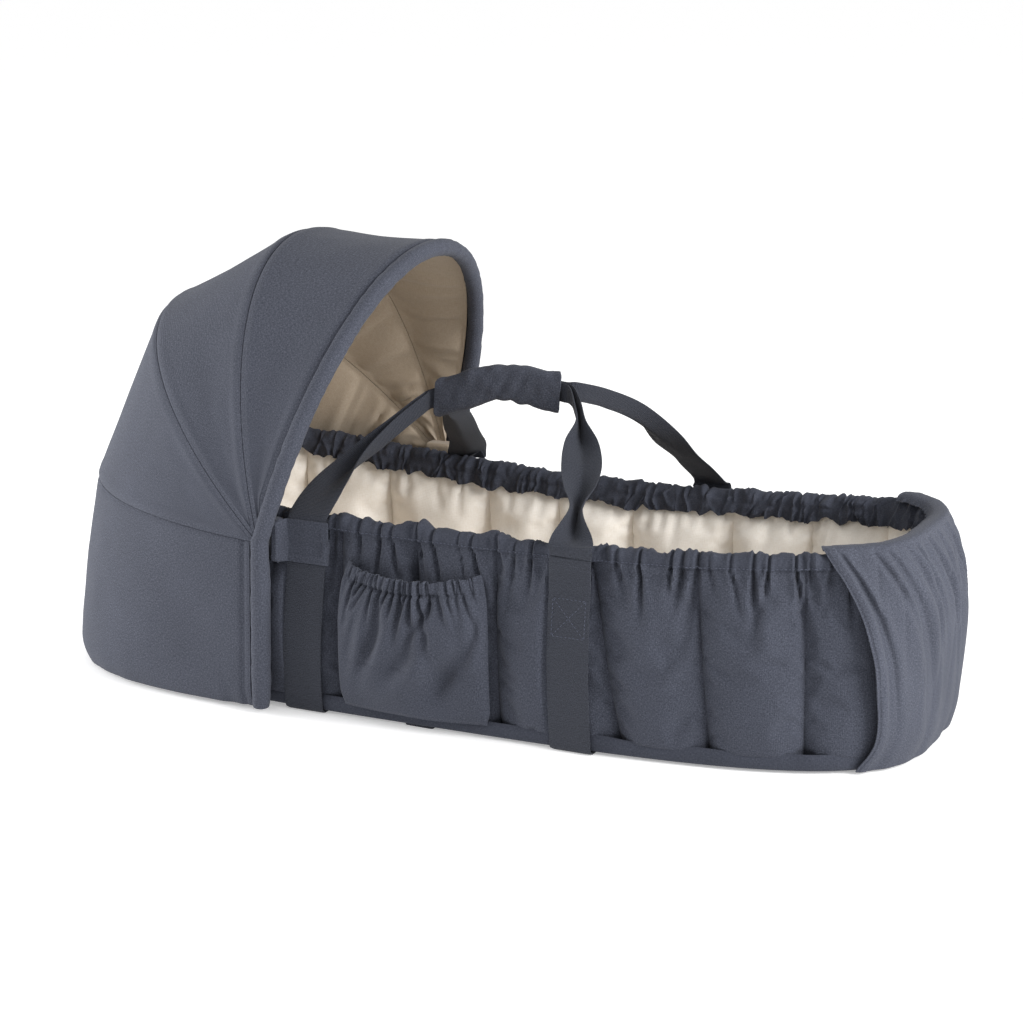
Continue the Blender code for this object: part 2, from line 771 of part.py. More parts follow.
def make_skirt():
    base_angle = math.radians(BOW_DEGREES["base"])
    reach_back = cloth_radius("base", False)
    rows = []
    for share, bulge_share, tuck_share in SKIRT_PROFILE:
        bulge = SKIRT_BULGE * bulge_share
        tuck = SKIRT_TUCK * tuck_share
        power = SKIRT_LOW_POWER + (ARCH_POWER - SKIRT_LOW_POWER) * share
        start = math.asin(((EDGE_RADIUS + LAYER_GAP) / reach_back) ** (power / 2))
        row = []
        for i in range(SKIRT_STATIONS):
            turn = start + (math.pi - 2 * start) * i / (SKIRT_STATIONS - 1)
            rise, across = arch_shape(turn, power)
            top = PIVOT_Z + reach_back * rise * math.sin(base_angle) - HOOD_SEAM_GAP
            z = SKIRT_LOW_Z + (top - SKIRT_LOW_Z) * share
            back = (reach_back + bulge - tuck) * rise
            row.append(Vector((PIVOT_X - EDGE_LEAN * (1 - share) - back, (OUTER_REACH - tuck) * across, z)))
        rows.append(row)
    cloth("hood_skirt", rows, HOOD_FABRIC, "slate_cloth", outward=away_from_middle_of_skirt)
    top_z = PIVOT_Z - HINGE_BLOCK[1] / 2 - 2 * SEAT_GAP
    low_z = SKIRT_LOW_Z
    for name, side in (("near", -1), ("far", 1)):
        lean = EDGE_LEAN * (1 - (top_z - SKIRT_LOW_Z) / (PIVOT_Z - SKIRT_LOW_Z))
        sections = []
        for z, shift, radius in (
            (low_z, EDGE_LEAN, EDGE_FOOT_SHARE * EDGE_RADIUS),
            (low_z + EDGE_FOOT, EDGE_LEAN, EDGE_RADIUS),
            ((low_z + top_z) / 2, (EDGE_LEAN + lean) / 2, EDGE_RADIUS),
            (top_z, lean, EDGE_RADIUS),
        ):
            sections.append(
                [
                    Vector(
                        (
                            PIVOT_X - shift + radius * math.cos(2 * math.pi * i / EDGE_SIDES),
                            side * FRONT_BOW_REACH + radius * math.sin(2 * math.pi * i / EDGE_SIDES),
                            z,
                        )
                    )
                    for i in range(EDGE_SIDES)
                ]
            )
        loft(f"{name}_skirt_edge", sections, "slate_cloth")


def away_from_middle_of_skirt(point):
    return Vector((point.x - PIVOT_X, point.y, 0))


def make_hinges():
    for name, side in (("near", -1), ("far", 1)):
        block_out = bow_reach("base") - EYE_THICKNESS / 2 - SEAT_GAP
        low_level = wall_level(PIVOT_Z - HINGE_BLOCK[1] / 2, run_at_x(PIVOT_X, side))
        block_in = half_width(PIVOT_X) - drawn_in(low_level) + SEAT_GAP
        bpy.ops.mesh.primitive_cube_add(
            size=1,
            location=(PIVOT_X, side * (block_in + block_out) / 2, PIVOT_Z),
            scale=(HINGE_BLOCK[0], block_out - block_in, HINGE_BLOCK[1]),
        )
        block = bpy.context.object
        block.name = f"{name}_hinge_block"
        block.data.transform(Matrix.Diagonal((*block.scale, 1)))
        block.scale = (1, 1, 1)
        put_in(block, NEST)
        set_finish(block, "bow_plastic")
        soften = block.modifiers.new("Rounded", "BEVEL")
        soften.width = HINGE_ROUNDING
        soften.segments = 2
        boolean(block, PIN_HOLE, "DIFFERENCE")
        shank_in = block_in + PIN_SINK
        head_in = FRONT_BOW_REACH + EYE_THICKNESS / 2 + SEAT_GAP
        shank = head_in + PIN_HEAD_THICKNESS / 2 - shank_in
        pin = rod(
            f"{name}_hinge_pin",
            PIN_RADIUS,
            shank,
            (PIVOT_X, side * (shank_in + shank / 2), PIVOT_Z),
            "pin_steel",
            NEST,
        )
        head = rod(
            f"{name}_pin_head",
            PIN_HEAD_RADIUS,
            PIN_HEAD_THICKNESS,
            (PIVOT_X, side * (head_in + PIN_HEAD_THICKNESS / 2), PIVOT_Z),
            "pin_steel",
            TOOLS,
        )
        hide_tool(head)
        boolean(pin, head, "UNION")


# A strap is a loft of flat sections along a smooth line through its stations
def smooth_line(stations, steps):
    made = []
    for i in range(len(stations) - 1):
        before = stations[max(i - 1, 0)]
        start = stations[i]
        end = stations[i + 1]
        after = stations[min(i + 2, len(stations) - 1)]
        for k in range(steps):
            t = k / steps
            made.append(
                tuple(
                    b
                    if b == c
                    else 0.5
                    * (
                        2 * b
                        + (c - a) * t
                        + (2 * a - 5 * b + 4 * c - d) * t * t
                        + (3 * b - a - 3 * c + d) * t**3
                    )
                    for a, b, c, d in zip(before, start, end, after)
                )
            )
    made.append(tuple(stations[-1]))
    return made


def strap_sections(line):
    sections = []
    for i, (x, y, z, width, thickness, upright) in enumerate(line):
        ahead = Vector(line[min(i + 1, len(line) - 1)][:3])
        back = Vector(line[max(i - 1, 0)][:3])
        tangent = (ahead - back).normalized()
        flat = (Vector((1, 0, 0)) * (1 - upright) + Vector((0, 0, 1)) * upright).normalized()
        wide = (flat - tangent * flat.dot(tangent)).normalized()
        thick = tangent.cross(wide).normalized()
        centre = Vector((x, y, z))
        sections.append(
            [
                centre + wide * (a * width / 2) + thick * (b * thickness / 2)
                for a, b in ((-1, -1), (1, -1), (1, 1), (-1, 1))
            ]
        )
    return sections


def strap_half_width(strap_x):
    return max(half_width(strap_x + side * WEBBING_WIDTH / 2) for side in (-1, 0, 1))


def fold_z(side):
    return FOLD_RISE + max(wall_top(run_at_x(x, side)) for x in (HEAD_STRAP_X, FOOT_STRAP_X))


def fold_reach():
    widest = max(strap_half_width(HEAD_STRAP_X), strap_half_width(FOOT_STRAP_X))
    return widest + STRAP_RIM_OFFSET + WEBBING_THICKNESS


def fold_point(strap_x, side):
    return Vector((strap_x, side * fold_reach(), fold_z(side)))


# The free webbing starts at the fold line with its upper face on that line
def leg_start(strap_x, side, next_station):
    fold = fold_point(strap_x, side)
    towards = Vector(next_station[:3]) - fold
    towards.x = 0
    towards.normalize()
    under = Vector((0, -side * abs(towards.z), -abs(towards.y)))
    centre = fold + towards * SEAT_GAP + under * (WEBBING_THICKNESS / 2)
    return centre, under


def leg_end_section(strap_x, side, next_station):
    centre, under = leg_start(strap_x, side, next_station)
    wide = Vector((1, 0, 0))
    return [
        centre + wide * (a * WEBBING_WIDTH / 2) + under * (b * WEBBING_THICKNESS / 2)
        for a, b in ((-1, 1), (1, 1), (1, -1), (-1, -1))
    ]


def matched(section, like):
    best = None
    for flip in (False, True):
        ordered = list(reversed(section)) if flip else list(section)
        for k in range(len(ordered)):
            turned = ordered[k:] + ordered[:k]
            cost = sum((p - q).length for p, q in zip(turned, like))
            if best is None or cost < best[0]:
                best = (cost, turned)
    return best[1]


def make_handle(name, stations, side, parent):
    line = smooth_line(stations, 3)
    sections = strap_sections(line)
    first = matched(leg_end_section(HEAD_STRAP_X, side, stations[0]), sections[0])
    last = matched(leg_end_section(FOOT_STRAP_X, side, stations[-1]), sections[-1])
    loft(name + "_handle_webbing", [first] + sections + [last], "slate_webbing", parent)


def grip_line():
    inside = [s for s in NEAR_HANDLE if s[1] == GRIP_Y]
    return smooth_line(inside, 3)


def make_grip_wrap(parent):
    line = [s for s in grip_line() if abs(s[0] - grip_centre_x()) <= WRAP_LENGTH / 2]
    near = -GRIP_THICK / 2 - SEAT_GAP - WRAP_WALL
    far = near + WRAP_DEPTH
    half = WRAP_TALL / 2
    corner = WRAP_CORNER
    inner = corner - 0.6 * WRAP_WALL
    profile = (
        (far, half),
        (near + corner, half),
        (near, half - corner),
        (near, -half + corner),
        (near + corner, -half),
        (far, -half),
        (far, -half + WRAP_WALL),
        (near + WRAP_WALL + inner, -half + WRAP_WALL),
        (near + WRAP_WALL, -half + WRAP_WALL + inner),
        (near + WRAP_WALL, half - WRAP_WALL - inner),
        (near + WRAP_WALL + inner, half - WRAP_WALL),
        (far, half - WRAP_WALL),
    )
    sections = []
    for i, station in enumerate(line):
        ahead = Vector(line[min(i + 1, len(line) - 1)][:3])
        back = Vector(line[max(i - 1, 0)][:3])
        tangent = (ahead - back).normalized()
        up = Vector((-tangent.z, 0, tangent.x)).normalized()
        centre = Vector(station[:3])
        sections.append([centre + Vector((0, y, 0)) + up * z for y, z in profile])
    loft("grip_wrap", sections, "slate_cloth", parent)


def grip_centre_x():
    inside = [s[0] for s in NEAR_HANDLE if s[1] == GRIP_Y]
    return (min(inside) + max(inside)) / 2


def carry_strap_path(strap_x, side):
    half = strap_half_width(strap_x)
    run = run_at_x(strap_x, side)
    ground = WEBBING_THICKNESS / 2
    cling = WEBBING_THICKNESS / 2 + LAYER_GAP
    path = [(0.0, ground), (half - BASE_INSET + STRAP_CORNER_EASE, ground)]
    path.append((half - BOTTOM_DRAW + cling + STRAP_CORNER_EASE, wall_z(0.0, run)))
    for level in STRAP_LEVELS:
        path.append((half - drawn_in(level) + cling, wall_z(level, run)))
    rim = fold_reach() - WEBBING_THICKNESS / 2
    path.append((rim, wall_z(1.0, run)))
    path.append((rim, fold_z(side) - WEBBING_THICKNESS - 2 * SEAT_GAP))
    return path


def make_carry_strap(name, strap_x):
    near = carry_strap_path(strap_x, -1)
    far = carry_strap_path(strap_x, 1)
    path = [(-y, z) for y, z in reversed(near)] + far[1:]
    sections = []
    for i, (y, z) in enumerate(path):
        here = Vector((0, y, z))
        ahead = Vector((0, *path[min(i + 1, len(path) - 1)]))
        back = Vector((0, *path[max(i - 1, 0)]))
        one = (ahead - here).normalized() if (ahead - here).length else (here - back).normalized()
        two = (here - back).normalized() if (here - back).length else one
        tangent = (one + two).normalized()
        out = Vector((0, -tangent.z, tangent.y))
        widen = 1 / max(0.5, out.dot(Vector((0, -one.z, one.y))))
        half_thick = out * (widen * WEBBING_THICKNESS / 2)
        half_wide = Vector((WEBBING_WIDTH / 2, 0, 0))
        middle = here + Vector((strap_x, 0, 0))
        corners = ((-1, -1), (1, -1), (1, 1), (-1, 1))
        sections.append([middle + half_wide * a + half_thick * b for a, b in corners])
    loft(name, sections, "slate_webbing")


def make_anchor_strap():
    middle = (POCKET_X[0] + POCKET_X[1]) / 2
    reach = half_width(middle) - BASE_INSET - ANCHOR_STRAP_INSET
    bpy.ops.mesh.primitive_cube_add(
        size=1,
        location=(middle, 0, WEBBING_THICKNESS / 2),
        scale=(ANCHOR_STRAP_WIDTH, 2 * reach, WEBBING_THICKNESS),
    )
    strap = bpy.context.object
    strap.name = "pram_anchor_strap"
    strap.data.transform(Matrix.Diagonal((*strap.scale, 1)))
    strap.scale = (1, 1, 1)
    put_in(strap, NEST)
    set_finish(strap, "slate_webbing")


def make_patches():
    for name, side in (("near", -1), ("far", 1)):
        half = strap_half_width(HEAD_STRAP_X)
        run = run_at_x(HEAD_STRAP_X, side)
        rows = []
        for i in range(4):
            z = wall_top(run) - PATCH_BELOW_RIM - PATCH_SIZE[1] * i / 3
            layers = 2 * LAYER_GAP + WEBBING_THICKNESS + PATCH_THICKNESS
            reach = half - drawn_in(wall_level(z, run)) + layers
            rows.append([Vector((HEAD_STRAP_X + s * PATCH_SIZE[0] / 2, side * reach, z)) for s in (-1, 0, 1)])
        cloth(f"{name}_strap_patch", rows, PATCH_THICKNESS, "slate_cloth", outward=away_from_middle)


def wall_envelope(x, z):
    level = wall_level(z, run_at_x(x, -1))
    return half_width(x) - drawn_in(min(max(level, 0), 1))


def make_pocket():
    rows = []
    for j in range(POCKET_LEVELS):
        up = j / (POCKET_LEVELS - 1)
        row = []
        for i in range(POCKET_COLUMNS):
            across = i / (POCKET_COLUMNS - 1)
            x = POCKET_X[0] + (POCKET_X[1] - POCKET_X[0]) * across
            sag = POCKET_MOUTH_SAG * math.sin(math.pi * across) * up
            z = POCKET_Z[0] + (POCKET_Z[1] - POCKET_Z[0]) * up - sag
            belly = math.sin(math.pi * across) ** 0.6 * math.sin(math.pi * (0.10 + 0.62 * up)) ** 0.6
            y = wall_envelope(x, z) + LAYER_GAP + POCKET_CLOTH + POCKET_DEPTH * belly
            row.append(Vector((x, -y, z)))
        rows.append(row)
    cloth("side_pocket", rows, POCKET_CLOTH, "slate_cloth", outward=away_from_middle)
    mouth = rows[-1]
    lift = Vector((0, POCKET_CLOTH / 2, POCKET_ELASTIC_RADIUS + SEAT_GAP))
    curve = bpy.data.curves.new("pocket_elastic", "CURVE")
    curve.dimensions = "3D"
    curve.bevel_depth = POCKET_ELASTIC_RADIUS
    curve.bevel_resolution = 1
    curve.use_fill_caps = True
    spline = curve.splines.new("POLY")
    spline.points.add(len(mouth) - 1)
    for point, place in zip(spline.points, mouth):
        point.co = (*(place + lift), 1)
    obj = bpy.data.objects.new("pocket_elastic", curve)
    put_in(obj, NEST)
    set_finish(obj, "elastic")


def make_foot_cover():
    rows = []
    for index, (offset, share, edge_x) in enumerate(FOOT_COVER_PROFILE):
        start = run_at_x(edge_x, -1)
        end = run_at_x(edge_x, 1) + PERIMETER
        row = []
        for i in range(FOOT_COVER_COLUMNS):
            fold = FOOT_COVER_FOLD if i % 2 and 0 < index < 5 else 0
            run = start + (end - start) * i / (FOOT_COVER_COLUMNS - 1)
            z = share * (wall_top(run) + SEAT_GAP + RUFFLE_HEIGHT)
            row.append(on_outline(run, offset + fold + FOOT_COVER_CLOTH + FOOT_COVER_GAP, z))
        rows.append(row)
    cloth("foot_cover", rows, FOOT_COVER_CLOTH, "slate_cloth", outward=away_from_middle)


def empty_at(name, place):
    empty = bpy.data.objects.new(name, None)
    empty.location = place
    NEST.objects.link(empty)
    bpy.context.view_layer.update()
    return empty


clear_scene()
NEST = new_collection("baby_nest")
TOOLS = new_collection("cutting_tools")
PIN_HOLE = rod(
    "pin_hole",
    PIN_RADIUS + PIN_CLEARANCE,
    2 * (FRONT_BOW_REACH + 0.01),
    (PIVOT_X, 0, PIVOT_Z),
    "pin_steel",
    TOOLS,
)
hide_tool(PIN_HOLE)

pivot = (PIVOT_X, 0, PIVOT_Z)
rear_empty = empty_at("rear_bow_pivot", pivot)
middle_empty = empty_at("middle_bow_pivot", pivot)
front_empty = empty_at("front_bow_pivot", pivot)
near_empty = empty_at("near_handle_fold", fold_point(HEAD_STRAP_X, -1))
far_empty = empty_at("far_handle_fold", fold_point(HEAD_STRAP_X, 1))

make_floor()
make_wall()
make_ruffle()
make_carry_strap("head_carry_strap", HEAD_STRAP_X)
make_carry_strap("foot_carry_strap", FOOT_STRAP_X)
make_anchor_strap()
make_patches()
make_pocket()
make_foot_cover()
make_hinges()
make_bow("base", None)
make_bow("rear", rear_empty)
make_bow("middle", middle_empty)
make_bow("front", front_empty)
make_front_edge(front_empty)
make_hood_panels({"front": front_empty, "middle": middle_empty, "rear": rear_empty})
make_skirt()
make_handle("near", NEAR_HANDLE, -1, near_empty)
make_handle("far", FAR_HANDLE, 1, far_empty)
make_grip_wrap(near_empty)
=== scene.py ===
import json
import math

import bpy
import numpy as np
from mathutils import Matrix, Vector


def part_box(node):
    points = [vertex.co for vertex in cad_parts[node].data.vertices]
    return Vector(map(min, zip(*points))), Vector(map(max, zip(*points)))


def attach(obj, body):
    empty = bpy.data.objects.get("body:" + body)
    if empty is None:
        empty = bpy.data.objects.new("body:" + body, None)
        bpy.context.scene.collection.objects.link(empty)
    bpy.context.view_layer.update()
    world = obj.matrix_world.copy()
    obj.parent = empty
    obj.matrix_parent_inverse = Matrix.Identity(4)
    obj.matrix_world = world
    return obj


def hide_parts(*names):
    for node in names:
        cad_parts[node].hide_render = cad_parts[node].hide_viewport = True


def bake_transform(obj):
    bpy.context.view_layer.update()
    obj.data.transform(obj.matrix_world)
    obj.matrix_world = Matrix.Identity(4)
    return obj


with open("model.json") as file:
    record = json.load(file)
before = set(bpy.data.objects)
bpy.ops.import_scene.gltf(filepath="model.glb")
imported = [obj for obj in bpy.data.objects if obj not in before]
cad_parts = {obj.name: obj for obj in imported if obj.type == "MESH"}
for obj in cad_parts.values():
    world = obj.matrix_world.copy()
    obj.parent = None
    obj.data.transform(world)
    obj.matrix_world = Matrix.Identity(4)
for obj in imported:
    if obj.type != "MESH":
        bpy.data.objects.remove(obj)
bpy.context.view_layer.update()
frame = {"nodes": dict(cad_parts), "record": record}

pi = math.pi

nest = {
    "headEnd": -0.397,
    "footEnd": 0.4093,
    "headHalf": 0.1695,  # half widths at the two ends
    "footHalf": 0.158,
    "cornerPower": 3.2,  # how square the plan's corners are
    "wallFoot": 0.0048,
    "wallEnd": 0.170,  # height of the wall at both ends
    "sagX": 0.030,  # where the rim is lowest
    "sagReach": 0.330,
    "nearSag": 0.008,
    "farSag": 0.024,
    "bottomDraw": 0.0065,  # how far the wall leans in at its foot and at its top
    "topDraw": 0.010,
    "widest": 0.45,  # share of its height where it stands furthest out
    "sideSeams": (-0.290, -0.1975, -0.0865, -0.011, 0.064, 0.166, 0.249, 0.333),
    "endChannels": 3,
    "lean": 0.006,  # how far a hidden seam leans towards the foot end, from its top to its bottom
    "nearLean": (0.0, 0.004, 0.002, 0.004, 0.004, 0.028, 0.014, 0.004),  # the same as seen on the near side
    "ruffleHeight": 0.0182,
}
nestMiddle = (nest["headEnd"] + nest["footEnd"]) / 2


# Small shape helpers, all on whole arrays
def softNoise(x, y, seed, around=None):
    x, y = np.broadcast_arrays(np.asarray(x, float), np.asarray(y, float))
    ix, iy = np.floor(x).astype(np.int64), np.floor(y).astype(np.int64)
    fx, fy = x - ix, y - iy
    fx, fy = fx * fx * (3 - 2 * fx), fy * fy * (3 - 2 * fy)

    def corner(i, j):
        i = i if around is None else i % around  # repeats after this many cells
        mixed = (i * 374761393 + j * 668265263 + seed * 974634777) & 0x7FFFFFFF
        mixed = ((mixed ^ (mixed >> 13)) * 1274126177) & 0x7FFFFFFF
        return ((mixed ^ (mixed >> 16)) & 0xFFFF) / 32767.5 - 1

    low = corner(ix, iy) * (1 - fx) + corner(ix + 1, iy) * fx
    high = corner(ix, iy + 1) * (1 - fx) + corner(ix + 1, iy + 1) * fx
    return low * (1 - fy) + high * fy


def easeIn(t):
    t = np.clip(t, 0, 1)
    return t * t * (3 - 2 * t)


def bell(x, middle, width):
    return np.exp(-(((x - middle) / width) ** 2))


# A smooth line through rows of numbers, with the given steps between two of them
def smoothLine(stations, steps):
    stations = np.asarray(stations, float)
    before = np.vstack([stations[:1], stations[:-2]])
    after = np.vstack([stations[2:], stations[-1:]])
    made = []
    for t in np.arange(steps) / steps:
        a, b, c, d = before, stations[:-1], stations[1:], after
        curve = 2 * b + (c - a) * t + (2 * a - 5 * b + 4 * c - d) * t**2
        made.append(0.5 * (curve + (3 * b - a - 3 * c + d) * t**3))
    line = np.stack(made, 1).reshape(-1, stations.shape[1])
    return np.vstack([line, stations[-1:]])


def unit(v):
    return v / np.maximum(np.linalg.norm(v, axis=-1, keepdims=True), 1e-12)


# Length along a line at each of its points
def lengthsAlong(line):
    return np.concatenate([[0], np.cumsum(np.linalg.norm(np.diff(line, axis=0), axis=1))])


# 0 at both ends of the way from 0 to 1, and 1 in its middle
def hump(t):
    return np.sin(pi * np.clip(t, 0, 1))


# Share of the way to the nearer end
def fromEnds(share):
    return np.minimum(share, 1 - share)


# 0 up to four fifths of the way, and 1 at its end
def nearTop(level):
    return easeIn((level - 0.80) / 0.20)


def rowsOf(vector, count):
    return np.repeat(np.array([vector], float), count, 0)


# Twice as many rows, with smooth ones between
def doubled(values):
    wider = np.concatenate([values[:1], values, values[-1:]])
    between = (9 * (wider[1:-2] + wider[2:-1]) - wider[:-3] - wider[3:]) / 16
    made = np.empty((2 * len(values) - 1,) + values.shape[1:])
    made[::2], made[1::2] = values, between
    return made


def selectOnly(obj):
    bpy.ops.object.select_all(action="DESELECT")
    obj.select_set(True)
    bpy.context.view_layer.objects.active = obj


def applyModifier(obj, kind, **settings):
    selectOnly(obj)
    modifier = obj.modifiers.new(kind.title(), kind)
    for key, value in settings.items():
        setattr(modifier, key, value)
    bpy.ops.object.modifier_apply(modifier=modifier.name)


# A grid primitive whose points are then laid out in space. Its map is in metres along the cloth.
# Columns along the first way and rows along the second way face outwards by the right-hand rule.
def clothGrid(name, points, sew=False, uv=None):
    rows, columns = points.shape[:2]
    bpy.ops.object.select_all(action="DESELECT")
    bpy.ops.mesh.primitive_grid_add(x_subdivisions=columns - 1, y_subdivisions=rows - 1, size=1)
    obj = bpy.context.object
    obj.name = obj.data.name = name
    obj.data.vertices.foreach_set("co", points.astype(np.float32).ravel())
    if uv is None:
        across = np.linalg.norm(np.diff(points, axis=1), axis=2).mean(0)
        along = np.linalg.norm(np.diff(points, axis=0), axis=2).mean(1)
        u = np.concatenate([[0], np.cumsum(across)])
        v = np.concatenate([[0], np.cumsum(along)])
        uv = np.stack(np.meshgrid(u, v), 2)
    corners = np.empty(len(obj.data.loops), np.int32)
    obj.data.loops.foreach_get("vertex_index", corners)
    obj.data.uv_layers[0].name = "Cloth"
    obj.data.uv_layers[0].uv.foreach_set("vector", uv.reshape(-1, 2)[corners].astype(np.float32).ravel())
    if sew:  # the borders that meet become one
        editAll(obj, bpy.ops.mesh.remove_doubles, threshold=0.000002)
    return obj


def thicken(obj, thickness):
    applyModifier(obj, "SOLIDIFY", thickness=thickness, offset=-1.0, use_even_offset=False)


def editAll(obj, operator, **settings):
    selectOnly(obj)
    bpy.ops.object.mode_set(mode="EDIT")
    bpy.ops.mesh.select_all(action="SELECT")
    operator(**settings)
    bpy.ops.object.mode_set(mode="OBJECT")


def turnOutward(obj):
    editAll(obj, bpy.ops.mesh.normals_make_consistent, inside=False)


def finishPiece(obj, material, body=None, instead=(), angle=60):
    selectOnly(obj)
    bpy.ops.object.shade_smooth_by_angle(angle=math.radians(angle))
    obj.data.materials.clear()
    obj.data.materials.append(material)
    if body is not None:
        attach(obj, body)
    if instead:
        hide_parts(*instead)
    return obj


# Turns an open sheet's faces away from a place inside it
def faceFrom(obj, place):
    total = 0.0
    middle = Vector(place)
    for face in list(obj.data.polygons)[:: max(1, len(obj.data.polygons) // 300)]:
        total += face.normal.dot(face.center - middle) * face.area
    if total < 0:
        obj.data.flip_normals()


# One layer of cloth: laid out, turned away from a place inside it, given its thickness and its material, and
# hung on its body in place of its CAD parts
def makeSheet(
    name, points, thickness, material, instead, inside=None, sew=False, body="cot"
):
    obj = clothGrid(name, points, sew)
    if inside is not None:
        faceFrom(obj, inside)
    thicken(obj, thickness)
    finishPiece(obj, material, body, instead)


# Folds that hang from a gathered edge: place along it, depth, reach down, slant and width of each
def pleatRows(length, seed, spacing, depth, reach, slant):
    rng = np.random.default_rng(seed)
    rows, place = [], spacing[0]
    while place < length - spacing[0]:
        drawn = [rng.uniform(*span) for span in (depth, reach, slant, (0.8, 1.4))]
        rows.append((place, *drawn))
        place += rng.uniform(*spacing)
    return rows


def pleatRelief(along, down, rows, spread=0.055, narrow=0.0014):
    along, down = np.broadcast_arrays(np.asarray(along, float), np.asarray(down, float))
    relief = np.zeros(along.shape)
    below = np.maximum(down, 0)
    for place, depth, reach, slant, width in rows:
        near = np.abs(along - place - slant * below / 0.05)
        wide = (narrow + spread * below) * width
        fade = np.where(down < 0, 0.7, np.exp(-((below / reach) ** 1.7)))
        ridge = 0.5 * np.exp(-(((near - 2.1 * wide) / (1.5 * wide)) ** 2))
        relief += fade * depth * (ridge - np.exp(-((near / wide) ** 2)))
    return relief


# Wadding under a sewn cloth: pressure on every second row and column, held where the weight is 1.
# Returns how far each point of the full grid moves.
def wadding(points, held, look):
    coarse, held = points[::2, ::2], held[::2, ::2]
    sample = clothGrid("wadding_sample", coarse)
    group = sample.vertex_groups.new(name="held")
    group.add([int(i) for i in np.flatnonzero(held.ravel())], 1.0, "REPLACE")
    modifier = sample.modifiers.new("Cloth", "CLOTH")
    settings = modifier.settings
    settings.vertex_group_mass = "held"
    settings.use_pressure = True
    settings.uniform_pressure_force = look["pressure"]
    settings.shrink_min = -look["slack"]
    settings.bending_stiffness = look["bend"]
    settings.effector_weights.gravity = 0
    modifier.collision_settings.use_collision = False
    modifier.collision_settings.use_self_collision = False
    for number in range(1, look["frames"] + 1):
        bpy.context.scene.frame_set(number)
    selectOnly(sample)
    bpy.ops.object.modifier_apply(modifier=modifier.name)
    after = np.empty(coarse.size, np.float32)
    sample.data.vertices.foreach_get("co", after)
    bpy.data.objects.remove(sample)
    bpy.context.scene.frame_set(1)
    moved = after.reshape(coarse.shape).astype(float) - coarse
    far = np.linalg.norm(moved, axis=2, keepdims=True)
    moved = moved * np.minimum(1, look["cap"] / np.maximum(far, 1e-9))
    print(f"  wadding moved it {far.mean() * 1000:.1f} mm on average, {far.max() * 1000:.1f} mm at most")
    return doubled(doubled(moved).swapaxes(0, 1)).swapaxes(0, 1)


# Materials
def linearColor(hexCode):
    channels = [int(hexCode[i : i + 2], 16) / 255 for i in (0, 2, 4)]
    return [c / 12.92 if c <= 0.04045 else ((c + 0.055) / 1.055) ** 2.4 for c in channels] + [1.0]


def addNode(tree, kind, values=None, links=None, **settings):
    node = tree.nodes.new("ShaderNode" + kind)
    for key, value in settings.items():
        setattr(node, key, value)
    for key, value in (values or {}).items():
        node.inputs[key].default_value = value
    for key, source in (links or {}).items():
        tree.links.new(source, node.inputs[key])
    return node


def newMaterial(name, roughness, **sockets):
    material = bpy.data.materials.new(name)
    material.use_nodes = True
    shader = material.node_tree.nodes["Principled BSDF"]
    for key, value in {"Roughness": roughness, **sockets}.items():
        shader.inputs[key].default_value = value
    return material, material.node_tree, shader


# Tones from dark to light by one pattern, between the two ends of its span, and relief by another
def tonesAndRelief(tree, shader, look, pattern, span, height, depth):
    ramp = addNode(tree, "ValToRGB", links={"Fac": pattern})
    for stop, place, tone in zip(ramp.color_ramp.elements, span, ("dark", "light")):
        stop.position = place
        stop.color = linearColor(look[tone])
    tree.links.new(ramp.outputs[0], shader.inputs["Base Color"])
    bump = addNode(tree, "Bump", {"Strength": look["bump"], "Distance": depth}, {"Height": height})
    tree.links.new(bump.outputs[0], shader.inputs["Normal"])
    return ramp


# The outer cloth is a heathered cotton and polyester canvas. Its yarns are 0.4 mm apart, too fine for the
# picture, so they are drawn 0.8 mm apart. The other cloths are given by what is unlike it.
canvasLook = {
    "yarnMm": 0.8,
    "fleckRatio": 2.4,  # length of a fleck of fibre to its width
    "contrast": 0.28,
    "toneMm": 70,  # size of the slow changes of tone
    "slub": 0.8,
    "roughness": 0.92,
    "sheen": 0.05,
    "specular": 0.2,
    "bump": 0.35,
}


